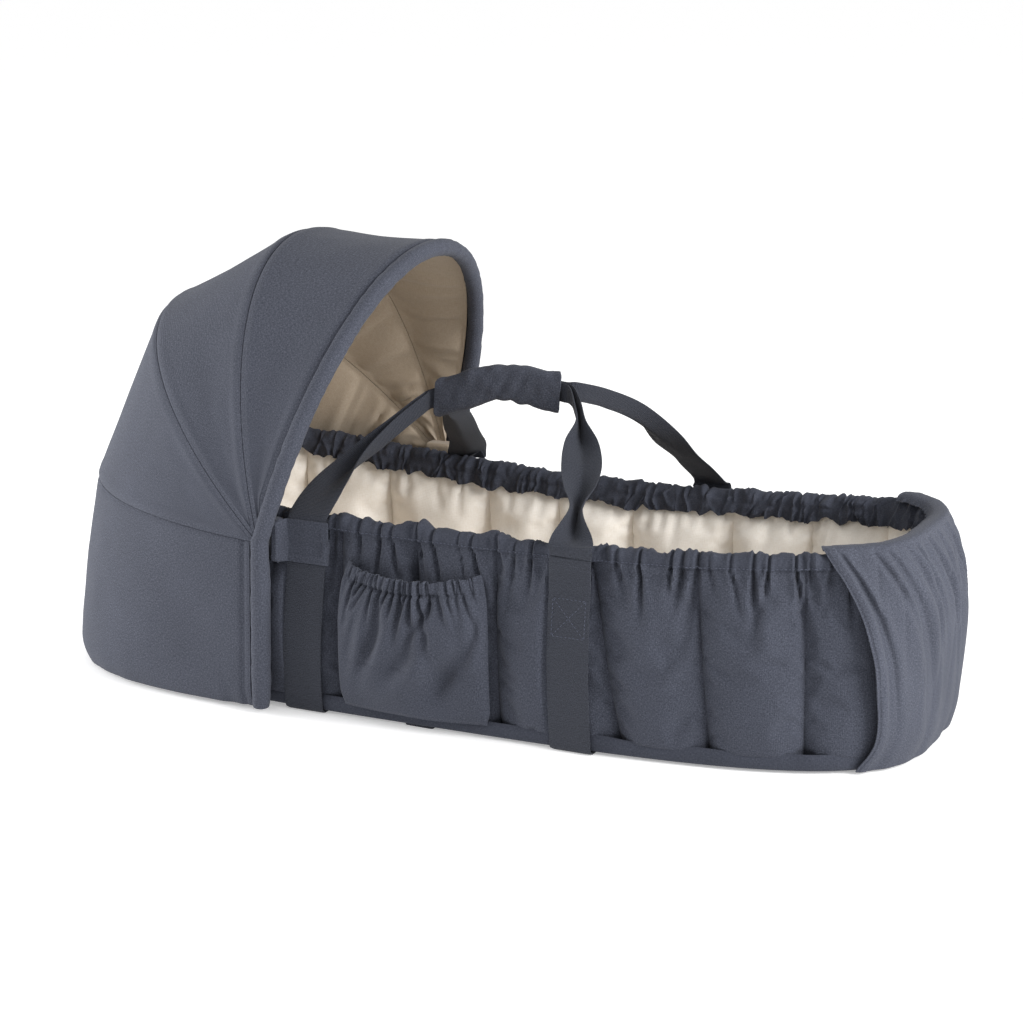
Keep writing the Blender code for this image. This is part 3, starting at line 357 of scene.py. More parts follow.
# Cloth: yarns that cross, flecks of lighter and darker fibre along both, and slow changes of tone
def wovenCloth(name, dark, color, light, **unlike):
    look = {**canvasLook, **unlike, "dark": dark, "light": light}
    sockets = {"Sheen Weight": look["sheen"], "Sheen Roughness": 0.45, "Specular IOR Level": look["specular"]}
    material, tree, shader = newMaterial(name, look["roughness"], **sockets)
    cloth = addNode(tree, "UVMap", uv_map="Cloth").outputs[0]
    yarn = 1000 / look["yarnMm"]
    along = yarn / look["fleckRatio"]
    flecks, waves = [], []
    for scale, shift in (((yarn, along, 1), (0, 0, 0)), ((along, yarn, 1), (3.7, 9.1, 0))):
        placed = addNode(tree, "Mapping", {"Scale": scale, "Location": shift}, {"Vector": cloth}).outputs[0]
        noise = {"Scale": 1.0, "Detail": 2.0, "Roughness": 0.6}
        flecks.append(addNode(tree, "TexNoise", noise, {"Vector": placed}).outputs[0])
    for direction in ("X", "Y"):
        placed = addNode(tree, "Mapping", {"Scale": (yarn / 2, yarn / 2, 1)}, {"Vector": cloth}).outputs[0]
        wave = {"Scale": pi / 10, "Distortion": look["slub"], "Detail": 1.0}
        waves.append(addNode(tree, "TexWave", wave, {"Vector": placed}, bands_direction=direction).outputs[1])
    fleck = addNode(tree, "Math", links={0: flecks[0], 1: flecks[1]}, operation="ADD").outputs[0]
    woven = addNode(tree, "Math", links={0: waves[0], 1: waves[1]}, operation="ADD").outputs[0]
    height = addNode(tree, "Math", {1: 0.9}, {0: fleck, 2: woven}, operation="MULTIPLY_ADD").outputs[0]
    ends = {"From Min": 1 - look["contrast"], "From Max": 1 + look["contrast"]}
    spread = addNode(tree, "MapRange", ends, {"Value": fleck}).outputs[0]
    ramp = tonesAndRelief(tree, shader, look, spread, (0, 1), height, look["yarnMm"] / 2500)
    ramp.color_ramp.elements.new(0.5).color = linearColor(color)
    slow = {"Scale": 1000 / look["toneMm"], "Detail": 3.0}
    tone = addNode(tree, "TexNoise", slow, {"Vector": cloth}).outputs[0]
    ends = {"From Min": 0.3, "From Max": 0.7, "To Min": 0.94, "To Max": 1.06}
    shade = addNode(tree, "MapRange", ends, {"Value": tone}).outputs[0]
    tinted = addNode(tree, "VectorMath", links={0: ramp.outputs[0], 1: shade}, operation="MULTIPLY")
    tree.links.new(tinted.outputs[0], shader.inputs["Base Color"])
    return material


# Webbing: ribs across the strap, a fine twill in them, and flecks as in the cloth
def ribbedWebbing(name, look):
    sockets = {"Sheen Weight": look["sheen"], "Sheen Roughness": 0.5, "Specular IOR Level": 0.25}
    material, tree, shader = newMaterial(name, look["roughness"], **sockets)
    cloth = addNode(tree, "UVMap", uv_map="Cloth").outputs[0]
    grain = 1000 / look["grainMm"]
    placed = addNode(tree, "Mapping", {"Scale": (grain, grain * 0.6, 1)}, {"Vector": cloth}).outputs[0]
    noise = {"Scale": 1.0, "Detail": 3.0, "Roughness": 0.65}
    fleck = addNode(tree, "TexNoise", noise, {"Vector": placed}).outputs[0]
    waves = []
    for direction, pitch, values in (
        ("Y", look["ribMm"], {"Distortion": 0.6, "Detail": 1.0, "Detail Scale": 2.0}),
        ("DIAGONAL", look["twillMm"], {"Distortion": 0.8, "Detail": 1.0}),
    ):
        values = {"Scale": pi / 10 * 1000 / pitch, **values}
        wave = addNode(tree, "TexWave", values, {"Vector": cloth}, bands_direction=direction)
        waves.append(wave.outputs[1])
    both = addNode(tree, "Math", {1: 0.2}, {0: waves[1], 2: waves[0]}, operation="MULTIPLY_ADD").outputs[0]
    height = addNode(tree, "Math", {1: 1.2}, {0: fleck, 2: both}, operation="MULTIPLY_ADD").outputs[0]
    tonesAndRelief(tree, shader, look, fleck, (0.32, 0.68), height, 0.0005)
    return material


# Hard pieces inside the cloth: moulded or rolled, with fine marks read from their place in space
def hardFinish(name, dark, light, roughness, metallic, grain, bump):
    material, tree, shader = newMaterial(name, roughness, Metallic=metallic)
    place = addNode(tree, "TexCoord").outputs["Object"]
    stretched = addNode(tree, "Mapping", {"Scale": grain}, {"Vector": place}).outputs[0]
    marks = addNode(tree, "TexNoise", {"Scale": 1.0, "Detail": 4.0}, {"Vector": stretched}).outputs[0]
    look = {"dark": dark, "light": light, "bump": bump}
    tonesAndRelief(tree, shader, look, marks, (0.35, 0.65), marks, 0.0002)
    return material


slateCanvas = wovenCloth("heathered_cotton_canvas_slate", "34363F", "42454F", "545762")
# The wall, the pocket and the strap patches use the same canvas painted slightly darker, as painted shade on
# the wall's side
paintedShadeCanvas = wovenCloth("heathered_cotton_canvas_slate_painted_shade", "2E3038", "3B3E48", "4C4F5A")
# The gathered band and the floor are the same yarn in a thinner, darker poplin
poplinLook = {"yarnMm": 0.7, "fleckRatio": 3.0, "contrast": 0.3, "toneMm": 40, "roughness": 0.9, "bump": 0.3}
slatePoplin = wovenCloth("cotton_poplin_dark_slate", "2D2F38", "373A44", "434650", **poplinLook)
# The mattress is in cotton sateen: smooth, with a faint gloss and hardly any visible yarn
sateenLook = {
    "fleckRatio": 6.0,
    "contrast": 0.35,
    "toneMm": 90,
    "slub": 0.5,
    "sheen": 0.20,
    "specular": 0.35,
    "bump": 0.12,
}
beigeSateen = wovenCloth("cotton_sateen_beige", "D2C6B7", "DACFC1", "E1D7CB", roughness=0.58, **sateenLook)
# The wall's lining is the same sateen painted paler, as painted light, and the hood's lining the same sateen
# painted darker, as painted shade for the hood's shade
paintedLightSateen = wovenCloth("cotton_sateen_beige_painted_light", "ECE5DA", "F4EEE5", "F8F4ED", roughness=0.55, **sateenLook)
paintedShadeSateen = wovenCloth("cotton_sateen_beige_painted_shade", "A09180", "A99B89", "B2A594", roughness=0.55, **sateenLook)
# Cotton webbing: its ribs are 1.2 mm apart and its twill 0.5 mm, both drawn a little coarser to show
webbingLook = {
    "dark": "25272E",
    "light": "3A3D46",
    "grainMm": 0.9,
    "ribMm": 1.6,
    "twillMm": 1.0,
    "roughness": 0.9,
    "sheen": 0.05,
    "bump": 0.6,
}
slateWebbing = ribbedWebbing("cotton_webbing_slate", webbingLook)
threadLook = {
    "yarnMm": 0.4,
    "fleckRatio": 4.0,
    "contrast": 0.3,
    "toneMm": 20,
    "slub": 0.3,
    "roughness": 0.6,
    "sheen": 0.1,
    "specular": 0.4,
    "bump": 0.2,
}
slateThread = wovenCloth("polyester_thread_slate", "343846", "3E4252", "4A4F60", **threadLook)
# Dark and light tone, roughness, metallic, marks to the metre along x, y and z, and bump
hardMaterials = {
    # black nylon strip, rolled lengthwise and slightly satin
    "bow_plastic": hardFinish("rolled_black_nylon", "202124", "2E2F33", 0.42, 0.0, (90, 900, 90), 0.15),
    # zinc plated steel pins, turned
    "pin_steel": hardFinish("zinc_plated_steel", "8C8F94", "A9ACB0", 0.32, 1.0, (900, 120, 900), 0.1),
    # pressed fibre board, with short brown fibres
    "board": hardFinish("pressed_fibre_board", "A8977A", "C4B598", 0.85, 0.0, (500, 160, 500), 0.3),
}
print("materials made")


# Plan outline, counter-clockwise from the middle of the foot end
def traceOutline(steps=4800):
    turn = np.arange(steps) * 2 * pi / steps
    x = np.sign(np.cos(turn)) * np.abs(np.cos(turn)) ** (2 / nest["cornerPower"])
    y = np.sign(np.sin(turn)) * np.abs(np.sin(turn)) ** (2 / nest["cornerPower"])
    along = nestMiddle + x * (nest["footEnd"] - nest["headEnd"]) / 2
    share = (along - nest["headEnd"]) / (nest["footEnd"] - nest["headEnd"])
    return np.stack([along, y * (nest["headHalf"] + (nest["footHalf"] - nest["headHalf"]) * share)], 1)


trace = traceOutline()
tracedRuns = lengthsAlong(np.vstack([trace, trace[:1]]))
perimeter = tracedRuns[-1]
ahead = np.roll(trace, -24, 0) - np.roll(trace, 24, 0)
traceNormals = unit(np.stack([ahead[:, 1], -ahead[:, 0]], 1))


def roundRim(values, run):
    closed = np.concatenate([values, values[:1]])
    return np.interp(np.mod(run, perimeter), tracedRuns, closed)


def planPoint(run):
    return roundRim(trace[:, 0], run), roundRim(trace[:, 1], run)


def onOutline(run, offset, z):
    x, y = planPoint(run)
    nx, ny = roundRim(traceNormals[:, 0], run), roundRim(traceNormals[:, 1], run)
    x, y, z = np.broadcast_arrays(x + nx * offset, y + ny * offset, z)
    return np.stack([x, y, z], -1)


def outwardAt(run):
    return onOutline(run, 1.0, 0.0) - onOutline(run, 0.0, 0.0)


def runAtX(x, side):
    there = np.flatnonzero(trace[:, 1] * side > 0)
    return tracedRuns[there[np.argmin(np.abs(trace[there, 0] - x))]]


def halfWidth(x):
    return float(abs(planPoint(runAtX(x, -1))[1]))


def wallTop(run):
    x, y = planPoint(run)
    share = np.maximum(0, 1 - ((x - nest["sagX"]) / nest["sagReach"]) ** 2)
    sideways = easeIn(0.5 + y / 0.04)  # the two sides sag by unlike amounts, and meet at the ends
    return nest["wallEnd"] - share * (nest["nearSag"] * (1 - sideways) + nest["farSag"] * sideways)


def wallZ(level, run):
    return nest["wallFoot"] + level * (wallTop(run) - nest["wallFoot"])


def levelAt(z, top):
    return (z - nest["wallFoot"]) / (top - nest["wallFoot"])


def drawnIn(level):
    low = nest["bottomDraw"] * (1 - np.clip(level / nest["widest"], 0, 1)) ** 2
    high = nest["topDraw"] * np.clip((level - nest["widest"]) / (1 - nest["widest"]), 0, 1) ** 2
    return low + high


def seamRuns():
    far = [runAtX(x, 1) for x in reversed(nest["sideSeams"])]
    near = [runAtX(x, -1) for x in nest["sideSeams"]]
    count = nest["endChannels"]
    head = [far[-1] + (near[0] - far[-1]) * i / count for i in range(1, count)]
    foot = [near[-1] + (far[0] + perimeter - near[-1]) * i / count for i in range(1, count)]
    return np.array(far + head + near + foot)


seams = seamRuns()
channelCount = len(seams)
firstNearSeam = len(nest["sideSeams"]) + nest["endChannels"] - 1
seamLean = nest["lean"] * np.array([math.sin(7.3 * i) for i in range(channelCount)])
seamLean[firstNearSeam : firstNearSeam + 8] = nest["nearLean"]


# Columns of the wall: run at each level, share of the channel's width, and channel number
def wallColumns(spacing, levels):
    runs, shares, channels = [], [], []
    for c in range(channelCount):
        start, end = seams[c], seams[(c + 1) % channelCount]
        if c == channelCount - 1:
            end += perimeter
        lean = (nest["widest"] - levels)[:, None]
        left = start + lean * seamLean[c]
        right = end + lean * seamLean[(c + 1) % channelCount]
        count = max(8, 2 * round((end - start) / spacing / 2))
        share = np.arange(count) / count
        runs.append(left * (1 - share) + right * share)
        shares.append(share)
        channels.append(np.full(count, c))
    runs.append(runs[0][:, :1] + perimeter)
    shares.append([0.0])
    channels.append([0])
    return np.hstack(runs), np.concatenate(shares)[None], np.concatenate(channels)[None]


webbing = {
    "width": 0.038,
    "thickness": 0.0017,
    "gap": 0.0006,
    "wander": 0.0010,
    "lean": 0.007,  # the head strap leans towards the hood on its way down
}
strapX = {"head": -0.115, "foot": 0.1355}


# Noise along the rim that meets itself after one round
def rimNoise(run, pitch, y, seed, warp=0.0):
    cells = round(perimeter / pitch)
    return softNoise(run / perimeter * cells + warp, y, seed, cells)


wall = {
    "spacing": 0.0023,  # between columns
    "rows": 75,
    "grooveDepth": 0.0125,
    "drawnBack": 0.0030,  # the cover starts this far inside its place, and the wadding pushes it out
    "top": 1.045,  # the cover runs a little past the wall's top, under the gathered band
    "cloth": 0.0009,
    "tuckHeight": 0.017,  # below this the foot is tucked in behind the floor's upturned edge
    "tuck": 0.008,
    "seamFolds": 0.0020,  # folds drawn towards the seams
    "lump": 0.0020,
    "smallLump": 0.0008,
    "outLimit": 0.0080,
    "inLimit": 0.0136,
    "inLimitTop": 0.0092,
    "strapCover": 0.021,  # half of the width where a strap lies over the cover
    "pocketCover": (-0.0105, 0.079),  # middle and half width of the place under the pocket
    "footCover": 0.325,
    "liningRows": 59,
    "liningSpacing": 0.0034,
    "liningGroove": -0.0172,
    "liningFull": -0.0375,
    "liningFoot": -0.0385,  # the lining's foot runs inwards under the mattress's edge
    "liningFolds": 0.0024,
    "wadding": {"pressure": 4.0, "slack": 0.022, "bend": 4.0, "frames": 20, "cap": 0.012},
    "liningWadding": {"pressure": 4.0, "slack": 0.02, "bend": 4.0, "frames": 20, "cap": 0.009},
}
wallPleats = pleatRows(perimeter, 41, (0.008, 0.028), (0.0026, 0.0072), (0.014, 0.062), (-0.008, 0.016))
liningPleats = pleatRows(perimeter, 43, (0.010, 0.034), (0.0008, 0.0026), (0.010, 0.034), (-0.010, 0.010))


def outerWallOffset(run, share, channel, level):
    round_ = np.clip(1 - np.abs(2 * share - 1) ** 2.3, 0, 1) ** 0.52
    z = wallZ(level, run)
    tucked = wall["tuck"] * np.clip((wall["tuckHeight"] - z) / 0.012, 0, 1) ** 1.5
    groove = wall["grooveDepth"] * (1 - 0.25 * nearTop(level))
    offset = -(drawnIn(level) + tucked) - groove * (1 - round_) + 0.0022 * hump(level) * round_
    lumps = wall["lump"] * rimNoise(run, 0.040, level * 3.5, 5)
    lumps = lumps + wall["smallLump"] * rimNoise(run, 0.016, level * 9, 6)
    offset = offset + lumps * np.sin(pi * np.clip(level, 0.03, 0.97)) * round_
    offset = offset + pleatRelief(run, wallTop(run) + 0.0058 - z, wallPleats)
    nearSeam = np.exp(-fromEnds(share) / 0.18)
    tugged = np.abs(softNoise(level * 11 + channel * 7.7 + share * 4, share * 2.5, 12))
    return offset + wall["seamFolds"] * (tugged - 0.45) * nearSeam * hump(level)


# How far out the cover may stand: less where a strap, the pocket or the foot cover lies over it
def outerWallLimit(run, level):
    x, y = planPoint(run)
    covered = 0.0
    for middle in strapX.values():
        covered = np.maximum(covered, easeIn((wall["strapCover"] + 0.007 - np.abs(x - middle)) / 0.007))
    middle, half = wall["pocketCover"]
    covered = np.maximum(covered, easeIn((half - np.abs(x - middle)) / 0.006) * (y < 0))
    covered = np.maximum(covered, easeIn((x - wall["footCover"]) / 0.02))
    return wall["outLimit"] * (1 - covered) - 0.0006 * covered - drawnIn(np.clip(level, 0, 1))


def makeOuterCover():
    levels = np.linspace(0, 1, wall["rows"]) ** 0.93 * wall["top"]
    run, share, channel = wallColumns(wall["spacing"], levels)
    level = levels[:, None]
    z = wallZ(level, run)
    offset = outerWallOffset(run, share, channel, level)
    slack = wall["drawnBack"] * hump(level) ** 0.4
    start = onOutline(run, offset - slack, z)
    # sewn down along the seams, at the foot and at the rim
    held = np.zeros(run.shape)
    held[:, share[0] == 0] = 1
    held[levels * 0.165 < 0.011] = 1
    held[levels > 0.985] = 1
    moved = wadding(start, held, wall["wadding"])
    normal = outwardAt(run)
    placed = offset + ((moved * normal).sum(-1) - slack)
    over = np.maximum(placed - outerWallLimit(run, level), 0)
    deepest = -drawnIn(np.clip(level, 0, 1)) - wall["inLimit"]
    deepest = deepest + (wall["inLimit"] - wall["inLimitTop"]) * nearTop(level)
    over = over + np.minimum(placed - deepest, 0) * easeIn((z - 0.014) / 0.006)
    points = start + moved - normal * over[..., None]
    points[:, -1] = points[:, 0]
    cover = clothGrid("outer_cover_quilted", points, sew=True)
    thicken(cover, wall["cloth"])
    pads = [f"wall_pad_{i:02d}" for i in range(1, channelCount + 1)]
    # the cover's canvas is painted darker than the hood's, as painted shade
    finishPiece(cover, paintedShadeCanvas, "cot", ["outer_cover"] + pads)


def liningOffset(run, share, channel, level):
    round_ = np.clip(1 - np.abs(2 * share - 1) ** 2.2, 0, 1) ** 0.5
    upper = nearTop(level)
    plump = 0.15 * (1 - upper) + 0.85 * np.sin(pi * np.clip(0.04 + 0.93 * level, 0, 1)) ** 0.8
    full = wall["liningFull"] - wall["liningGroove"]
    offset = wall["liningGroove"] - drawnIn(level) + 0.0052 * upper + full * round_ * plump
    z = wallZ(level, run)
    foot = easeIn(1 - (z - nest["wallFoot"]) / 0.014)
    free = 1 - foot
    offset = offset * free + wall["liningFoot"] * foot
    offset = offset - pleatRelief(run, wallTop(run) - 0.002 - z, liningPleats, 0.075, 0.0018) * free
    nearSeam = np.exp(-fromEnds(share) / 0.15)
    tugged = np.abs(softNoise(level * 15 + channel * 5.1 + share * 3, share * 3 + channel, 23))
    offset = offset - wall["liningFolds"] * (tugged - 0.4) * nearSeam * free
    soft = 0.0018 * rimNoise(run, 0.032, level * 5, 24) + 0.0008 * rimNoise(run, 0.013, level * 12, 25)
    return offset + soft * round_ * free


def makeLining():
    levels = np.linspace(1.03, 0, wall["liningRows"])
    run, share, channel = wallColumns(wall["liningSpacing"], levels)
    level = levels[:, None]
    z = np.maximum(wallZ(level, run), nest["wallFoot"] + 0.0007)
    points = onOutline(run, liningOffset(run, share, channel, level), z)
    held = np.zeros(run.shape)
    held[:, share[0] == 0] = 1
    held[levels < 0.12] = 1
    held[levels > 0.93] = 1
    points = points + wadding(points, held, wall["liningWadding"])
    points[:, -1] = points[:, 0]
    lining = clothGrid("lining_quilted", points, sew=True)
    thicken(lining, wall["cloth"])
    # the wall's lining is painted paler than the mattress's sateen, as painted light
    finishPiece(lining, paintedLightSateen, "cot", ["lining"])


ruffle = {
    "spacing": 0.00125,  # between columns
    "rows": 28,
    # offset from the outline and height above the wall's top, from the outer stitch line to the inner hem
    "profile": (
        (-0.0098, 0.0052),
        (-0.0103, 0.0090),
        (-0.0116, 0.0135),
        (-0.0145, 0.0172),
        (-0.0185, 0.0182),
        (-0.0228, 0.0165),
        (-0.0272, 0.0110),
        (-0.0298, 0.0030),
        (-0.0306, -0.0048),
    ),
    "crumple": 0.0062,  # depth of the short folds on the inner face
    "pinch": 0.75,  # how much of the wall's pleats shows in the band
    "hemWave": 0.0034,
    "curl": 0.0050,  # curls at the tops of the near seams
    "cloth": 0.0007,
}


def makeRuffle():
    columns = round(perimeter / ruffle["spacing"])
    profile = smoothLine(ruffle["profile"], 8)
    lengths = lengthsAlong(profile)
    share = np.linspace(0, 1, ruffle["rows"])[:, None]
    offset = np.interp(share, lengths / lengths[-1], profile[:, 0])
    height = np.interp(share, lengths / lengths[-1], profile[:, 1])
    run = np.linspace(0, perimeter, columns + 1)[None]
    warp = 1.1 * rimNoise(run, 0.024, share * 1.5, 32) + 0.5 * rimNoise(run, 0.009, share * 3, 33)
    # the outer face is pinched by the pleats, the inner one lies in short sharp folds
    pinched = pleatRelief(run, -0.01, wallPleats)
    outer = 1 - easeIn((share - 0.30) / 0.25)
    inner = easeIn((share - 0.40) / 0.25)
    fold = np.abs(rimNoise(run, 0.0062, share * 1.6, 34, 1.2 * warp)) ** 0.75
    crease = np.abs(rimNoise(run, 0.0038, share * 3.2, 35, 1.4 * warp))
    strength = 0.80 + 0.55 * rimNoise(run, 0.055, share * 0.8, 36)
    elastic = 1 - 0.55 * bell(share, 0.74, 0.07)  # the elastic holds the folds together here
    offset = offset + outer * (ruffle["pinch"] * pinched + 0.0009 * (0.5 - crease))
    folded = np.maximum(1.0 - 1.5 * fold - 0.35 * crease, -0.1)
    offset = offset - inner * elastic * strength * ruffle["crumple"] * folded
    crest = bell(share, 0.46, 0.22)
    height = height + crest * (0.0030 * rimNoise(run, 0.013, share * 2, 37) - 0.0030 * fold + 0.45 * pinched)
    height = height + nearTop(share) * ruffle["hemWave"] * rimNoise(run, 0.010, 0.0, 38)
    height = height + 0.0014 * inner * rimNoise(run, 0.005, share * 6, 39)
    for seam in seams[firstNearSeam + 1 : firstNearSeam + 8]:
        curl = ruffle["curl"] * bell(run, seam + 0.004, 0.0065)
        height = height + curl * crest
        offset = offset + curl * bell(share, 0.34, 0.16) - 0.0035 * bell(run, seam - 0.004, 0.004) * outer
    sideways = 0.0026 * inner * rimNoise(run, 0.0075, share * 3.5, 40, warp)
    points = onOutline(run + sideways, np.minimum(offset, -0.0052), wallTop(run) + height)
    points[:, -1] = points[:, 0]
    makeSheet(
        "rim_ruffle_gathered", points, ruffle["cloth"], slatePoplin,
        ["rim_ruffle", "rim_elastic"], sew=True,
    )


makeOuterCover()
print("outer cover made")
makeLining()
print("lining made")
makeRuffle()
print("gathered rim made")

floor = {
    "low": 0.0020,
    "columns": 760,
    # offset from the outline and height above the low face, out to the edge turned up round the wall's foot
    "profile": (
        (-0.155, 0.0),
        (-0.06, 0.0),
        (-0.02, 0.0),
        (-0.0105, 0.0003),
        (-0.0075, 0.0018),
        (-0.0062, 0.0055),
        (-0.0056, 0.010),
        (-0.0062, 0.0135),
        (-0.0070, 0.0155),
    ),
    "wave": 0.0010,
    "cloth": 0.0012,
}


# The floor: one sheet from the middle of the base out to its edge and up round the wall's foot
def makeFloor():
    columns = floor["columns"]
    run = np.linspace(0, perimeter, columns + 1)[None]
    x, y = planPoint(run)
    profile = smoothLine(floor["profile"], 4)
    offset = profile[:, :1]
    height = profile[:, 1:]
    turned = easeIn((height - 0.001) / 0.004)
    wrinkle = 0.0007 * softNoise(x / 0.018, y / 0.018, 41)
    wrinkle = wrinkle + 0.0005 * np.abs(softNoise(run / 0.009, height * 90, 42))
    offset = offset + turned * wrinkle
    height = height + turned * floor["wave"] * softNoise(x / 0.04, y / 0.04, 43) + floor["low"]
    points = onOutline(run, offset, height)
    # the inner rings close up on the middle line of the base
    reach = np.clip((points[0, :, 0] - nestMiddle) / 0.28, -1, 1) * 0.24 + nestMiddle
    centre = np.stack([reach, np.zeros(columns + 1), np.full(columns + 1, floor["low"])], 1)
    points = np.concatenate([centre[None], points])
    points[1] = (points[0] + points[2]) / 2
    points[:, -1] = points[:, 0]
    base = clothGrid("base_cover_cloth", points, sew=True)
    thicken(base, floor["cloth"])
    finishPiece(base, slatePoplin, "cot", ["base_cover"])


makeFloor()
print("floor made")

# Hood: arches in planes that turn about the pivot axis
hood = {
    "pivotX": -0.152,
    "pivotZ": 0.1565,
    "edgeRadius": 0.009,
    "tubeRadius": 0.0078,  # the padding is pressed a little below its full radius
    "archPower": 2.1,
    "degrees": {"front": 72.0, "middle": 102.5, "rear": 135.0, "base": 176.7},
    "radius": {"front": 0.250, "middle": 0.250, "rear": 0.252, "base": 0.257},
    "cloth": 0.0014,
    "lining": 0.0008,
    "outside": 0.0035,  # from the bow's middle to the outer face of the cloth
    "inside": -0.0021,
    "bowFlat": 0.0042,  # width of the strip that lies on the bow
    "sag": 0.0024,
    "rearSag": 0.0004,  # less, so that the panel clears the gathered rim when the hood folds back
    "seamRoll": 0.0018,
    "liningRoll": -0.0012,
    "streak": -0.0062,  # streaks in the lining across the hood
    "ripple": 0.0007,
    "standUp": 0.0008,  # the cloth stands up a little beside each seam
    "leads": {"front": 0.0066, "middle": 0.0003, "rear": 0.0003},  # room left beside each bow
    "tail": 0.0003,
    "turns": 190,
    "across": 26,
}
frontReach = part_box("hood_front_edge")[1].y - hood["edgeRadius"]
outerReach = frontReach + hood["outside"]
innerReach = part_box("hood_front_lining")[1].y
pivotPlace = np.array([hood["pivotX"], 0, hood["pivotZ"]])


def archShape(turn, power):
    rise = np.abs(np.sin(turn)) ** (2 / power)
    return rise, -np.sign(np.cos(turn)) * np.abs(np.cos(turn)) ** (2 / power)


def archPoint(radius, reach, degrees, turn):
    rise, across = archShape(turn, hood["archPower"])
    angle = np.radians(degrees)
    x = hood["pivotX"] + radius * rise * np.cos(angle)
    z = hood["pivotZ"] + radius * rise * np.sin(angle)
    return np.stack(np.broadcast_arrays(x, reach * across, z), -1)


# Turns of an arch at nearly even steps of its length, from a distance off one pivot to the same off the other
def evenTurns(count, start, radius=0.25):
    first = math.asin((start / radius) ** (hood["archPower"] / 2))
    fine = np.linspace(first, pi - first, 4000)
    line = archPoint(radius, frontReach, 90.0, fine)
    lengths = lengthsAlong(line)
    return np.interp(np.linspace(0, lengths[-1], count), lengths, fine)


def hoodSheetPoints(first, second, inside):
    turn = evenTurns(hood["turns"], 0.0045)
    rise, level = archShape(turn, hood["archPower"])
    reach = innerReach if inside else outerReach
    face = hood["inside"] if inside else hood["outside"]
    roll = hood["liningRoll"] if inside else hood["seamRoll"]
    width = hood["degrees"][second] - hood["degrees"][first]
    edges = np.array([0.0, 0.15, 0.35, 0.6, 1.0]) * hood["bowFlat"]
    sides = []
    for bow, gap, way in ((first, hood["leads"][first], 1), (second, hood["tail"], -1)):
        radius = hood["radius"][bow] + face
        rows = []
        for edge in edges:
            shift = np.degrees((gap + edge) / (radius * rise))
            degrees = hood["degrees"][bow] + way * np.minimum(shift, 0.49 * width)
            rows.append(archPoint(radius - roll * (1 - edge / hood["bowFlat"]) ** 2, reach, degrees, turn))
        sides.append(rows)
    sag = hood["rearSag"] if first == "rear" and not inside else hood["sag"]
    chord = np.linalg.norm(sides[1][-1] - sides[0][-1], axis=1)
    steep = np.abs(level)[:, None] ** 3
    along = turn / pi * 0.62
    middle = []
    for k in range(1, hood["across"]):
        t = k / hood["across"]
        point = sides[0][-1] * (1 - t) + sides[1][-1] * t
        outward = unit((point - pivotPlace) * (1, 0, 1))
        sideways = np.sign(point) * (0, 1, 0)
        outward = unit(outward * (1 - 0.8 * steep) + sideways * steep)
        if inside:
            warp = 0.9 * softNoise(t * 1.4, along / 0.06, 51)
            crease = np.sqrt(softNoise(along / 0.0095 + warp, t * 0.45, 52) ** 2 + 0.004)
            low = 0.55 + 0.45 * np.exp(-(((rise - 0.35) / 0.35) ** 2))
            wave = hood["streak"] * (crease - 0.35) * low + 0.0005 * softNoise(along / 0.03, t * 3, 53)
        else:
            wave = hood["ripple"] * softNoise(along / 0.045, t * 2.5, 54)
            wave = wave + 0.0003 * softNoise(along / 0.016, t * 6, 55)
        bend = (-sag * math.sin(pi * t) + wave * math.sin(pi * t) ** 0.4) * np.clip(rise * 4, 0, 1)
        if not inside:
            beside = bell(t * chord, 0.003, 0.004) + bell((1 - t) * chord, 0.003, 0.004)
            bend = bend + hood["standUp"] * beside * np.clip(rise * 3, 0, 1)
        middle.append(point + outward * bend[:, None])
    rows = sides[0] + middle + sides[1][::-1]
    return np.stack(rows[::-1] if inside else rows)


# A sheet baked into place, and each point's angle about the pivot, which nothing uses
def bendWithBows(obj):
    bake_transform(obj)
    count = len(obj.data.vertices)
    places = np.empty(count * 3, np.float32)
    obj.data.vertices.foreach_get("co", places)
    places = places.reshape(-1, 3)
    angle = np.degrees(np.arctan2(places[:, 2] - hood["pivotZ"], places[:, 0] - hood["pivotX"]))
    angle = np.where(angle < -90, angle + 360, angle)


def makeHoodSheets():
    for first, second in (("front", "middle"), ("middle", "rear"), ("rear", "base")):
        for kind, inside, cloth, material, slot in (
            ("panel", False, hood["cloth"], slateCanvas, "slate_cloth"),
            # the hood's lining is the sateen painted darker, as painted shade
            ("lining", True, hood["lining"], paintedShadeSateen, "beige_lining"),
        ):
            points = hoodSheetPoints(first, second, inside)
            obj = clothGrid(f"hood_{first}_{kind}_cloth", points)
            thicken(obj, cloth)
            finishPiece(obj, material, instead=[f"hood_{first}_{kind}"])
            bendWithBows(obj)


# A round tube along a line, whose two ends close to a point
def tubeGrid(name, centres, radii, out, side, sides=36, ripple=None):
    angle = np.linspace(0, 2 * pi, sides + 1)[None, :, None]
    radius = np.asarray(radii)[:, None, None]
    if ripple is not None:
        radius = radius + ripple[..., None]
    points = centres[:, None] + radius * (out[:, None] * np.sin(angle) + side[:, None] * np.cos(angle))
    points[:, -1] = points[:, 0]
    points[0], points[-1] = centres[0], centres[-1]
    obj = clothGrid(name, points, sew=True)
    turnOutward(obj)
    return obj


# Radii and steps that round off the end of a tube
def roundEnd(radius, steps=7):
    angle = np.linspace(0, pi / 2, steps + 1)[:-1]
    return radius * np.sin(angle), radius * np.cos(angle)


edging = {
    "step": 0.0022,  # between rings of the front tube
    "fine": 0.0003,
    "seamPinch": 0.0009,  # the seam beside the panel pinches the tube
    "lowPinch": 0.0006,
    "skirtThin": 0.18,  # how much the skirt's tubes are flattened at their feet
    "skirtPinch": 0.0008,
}


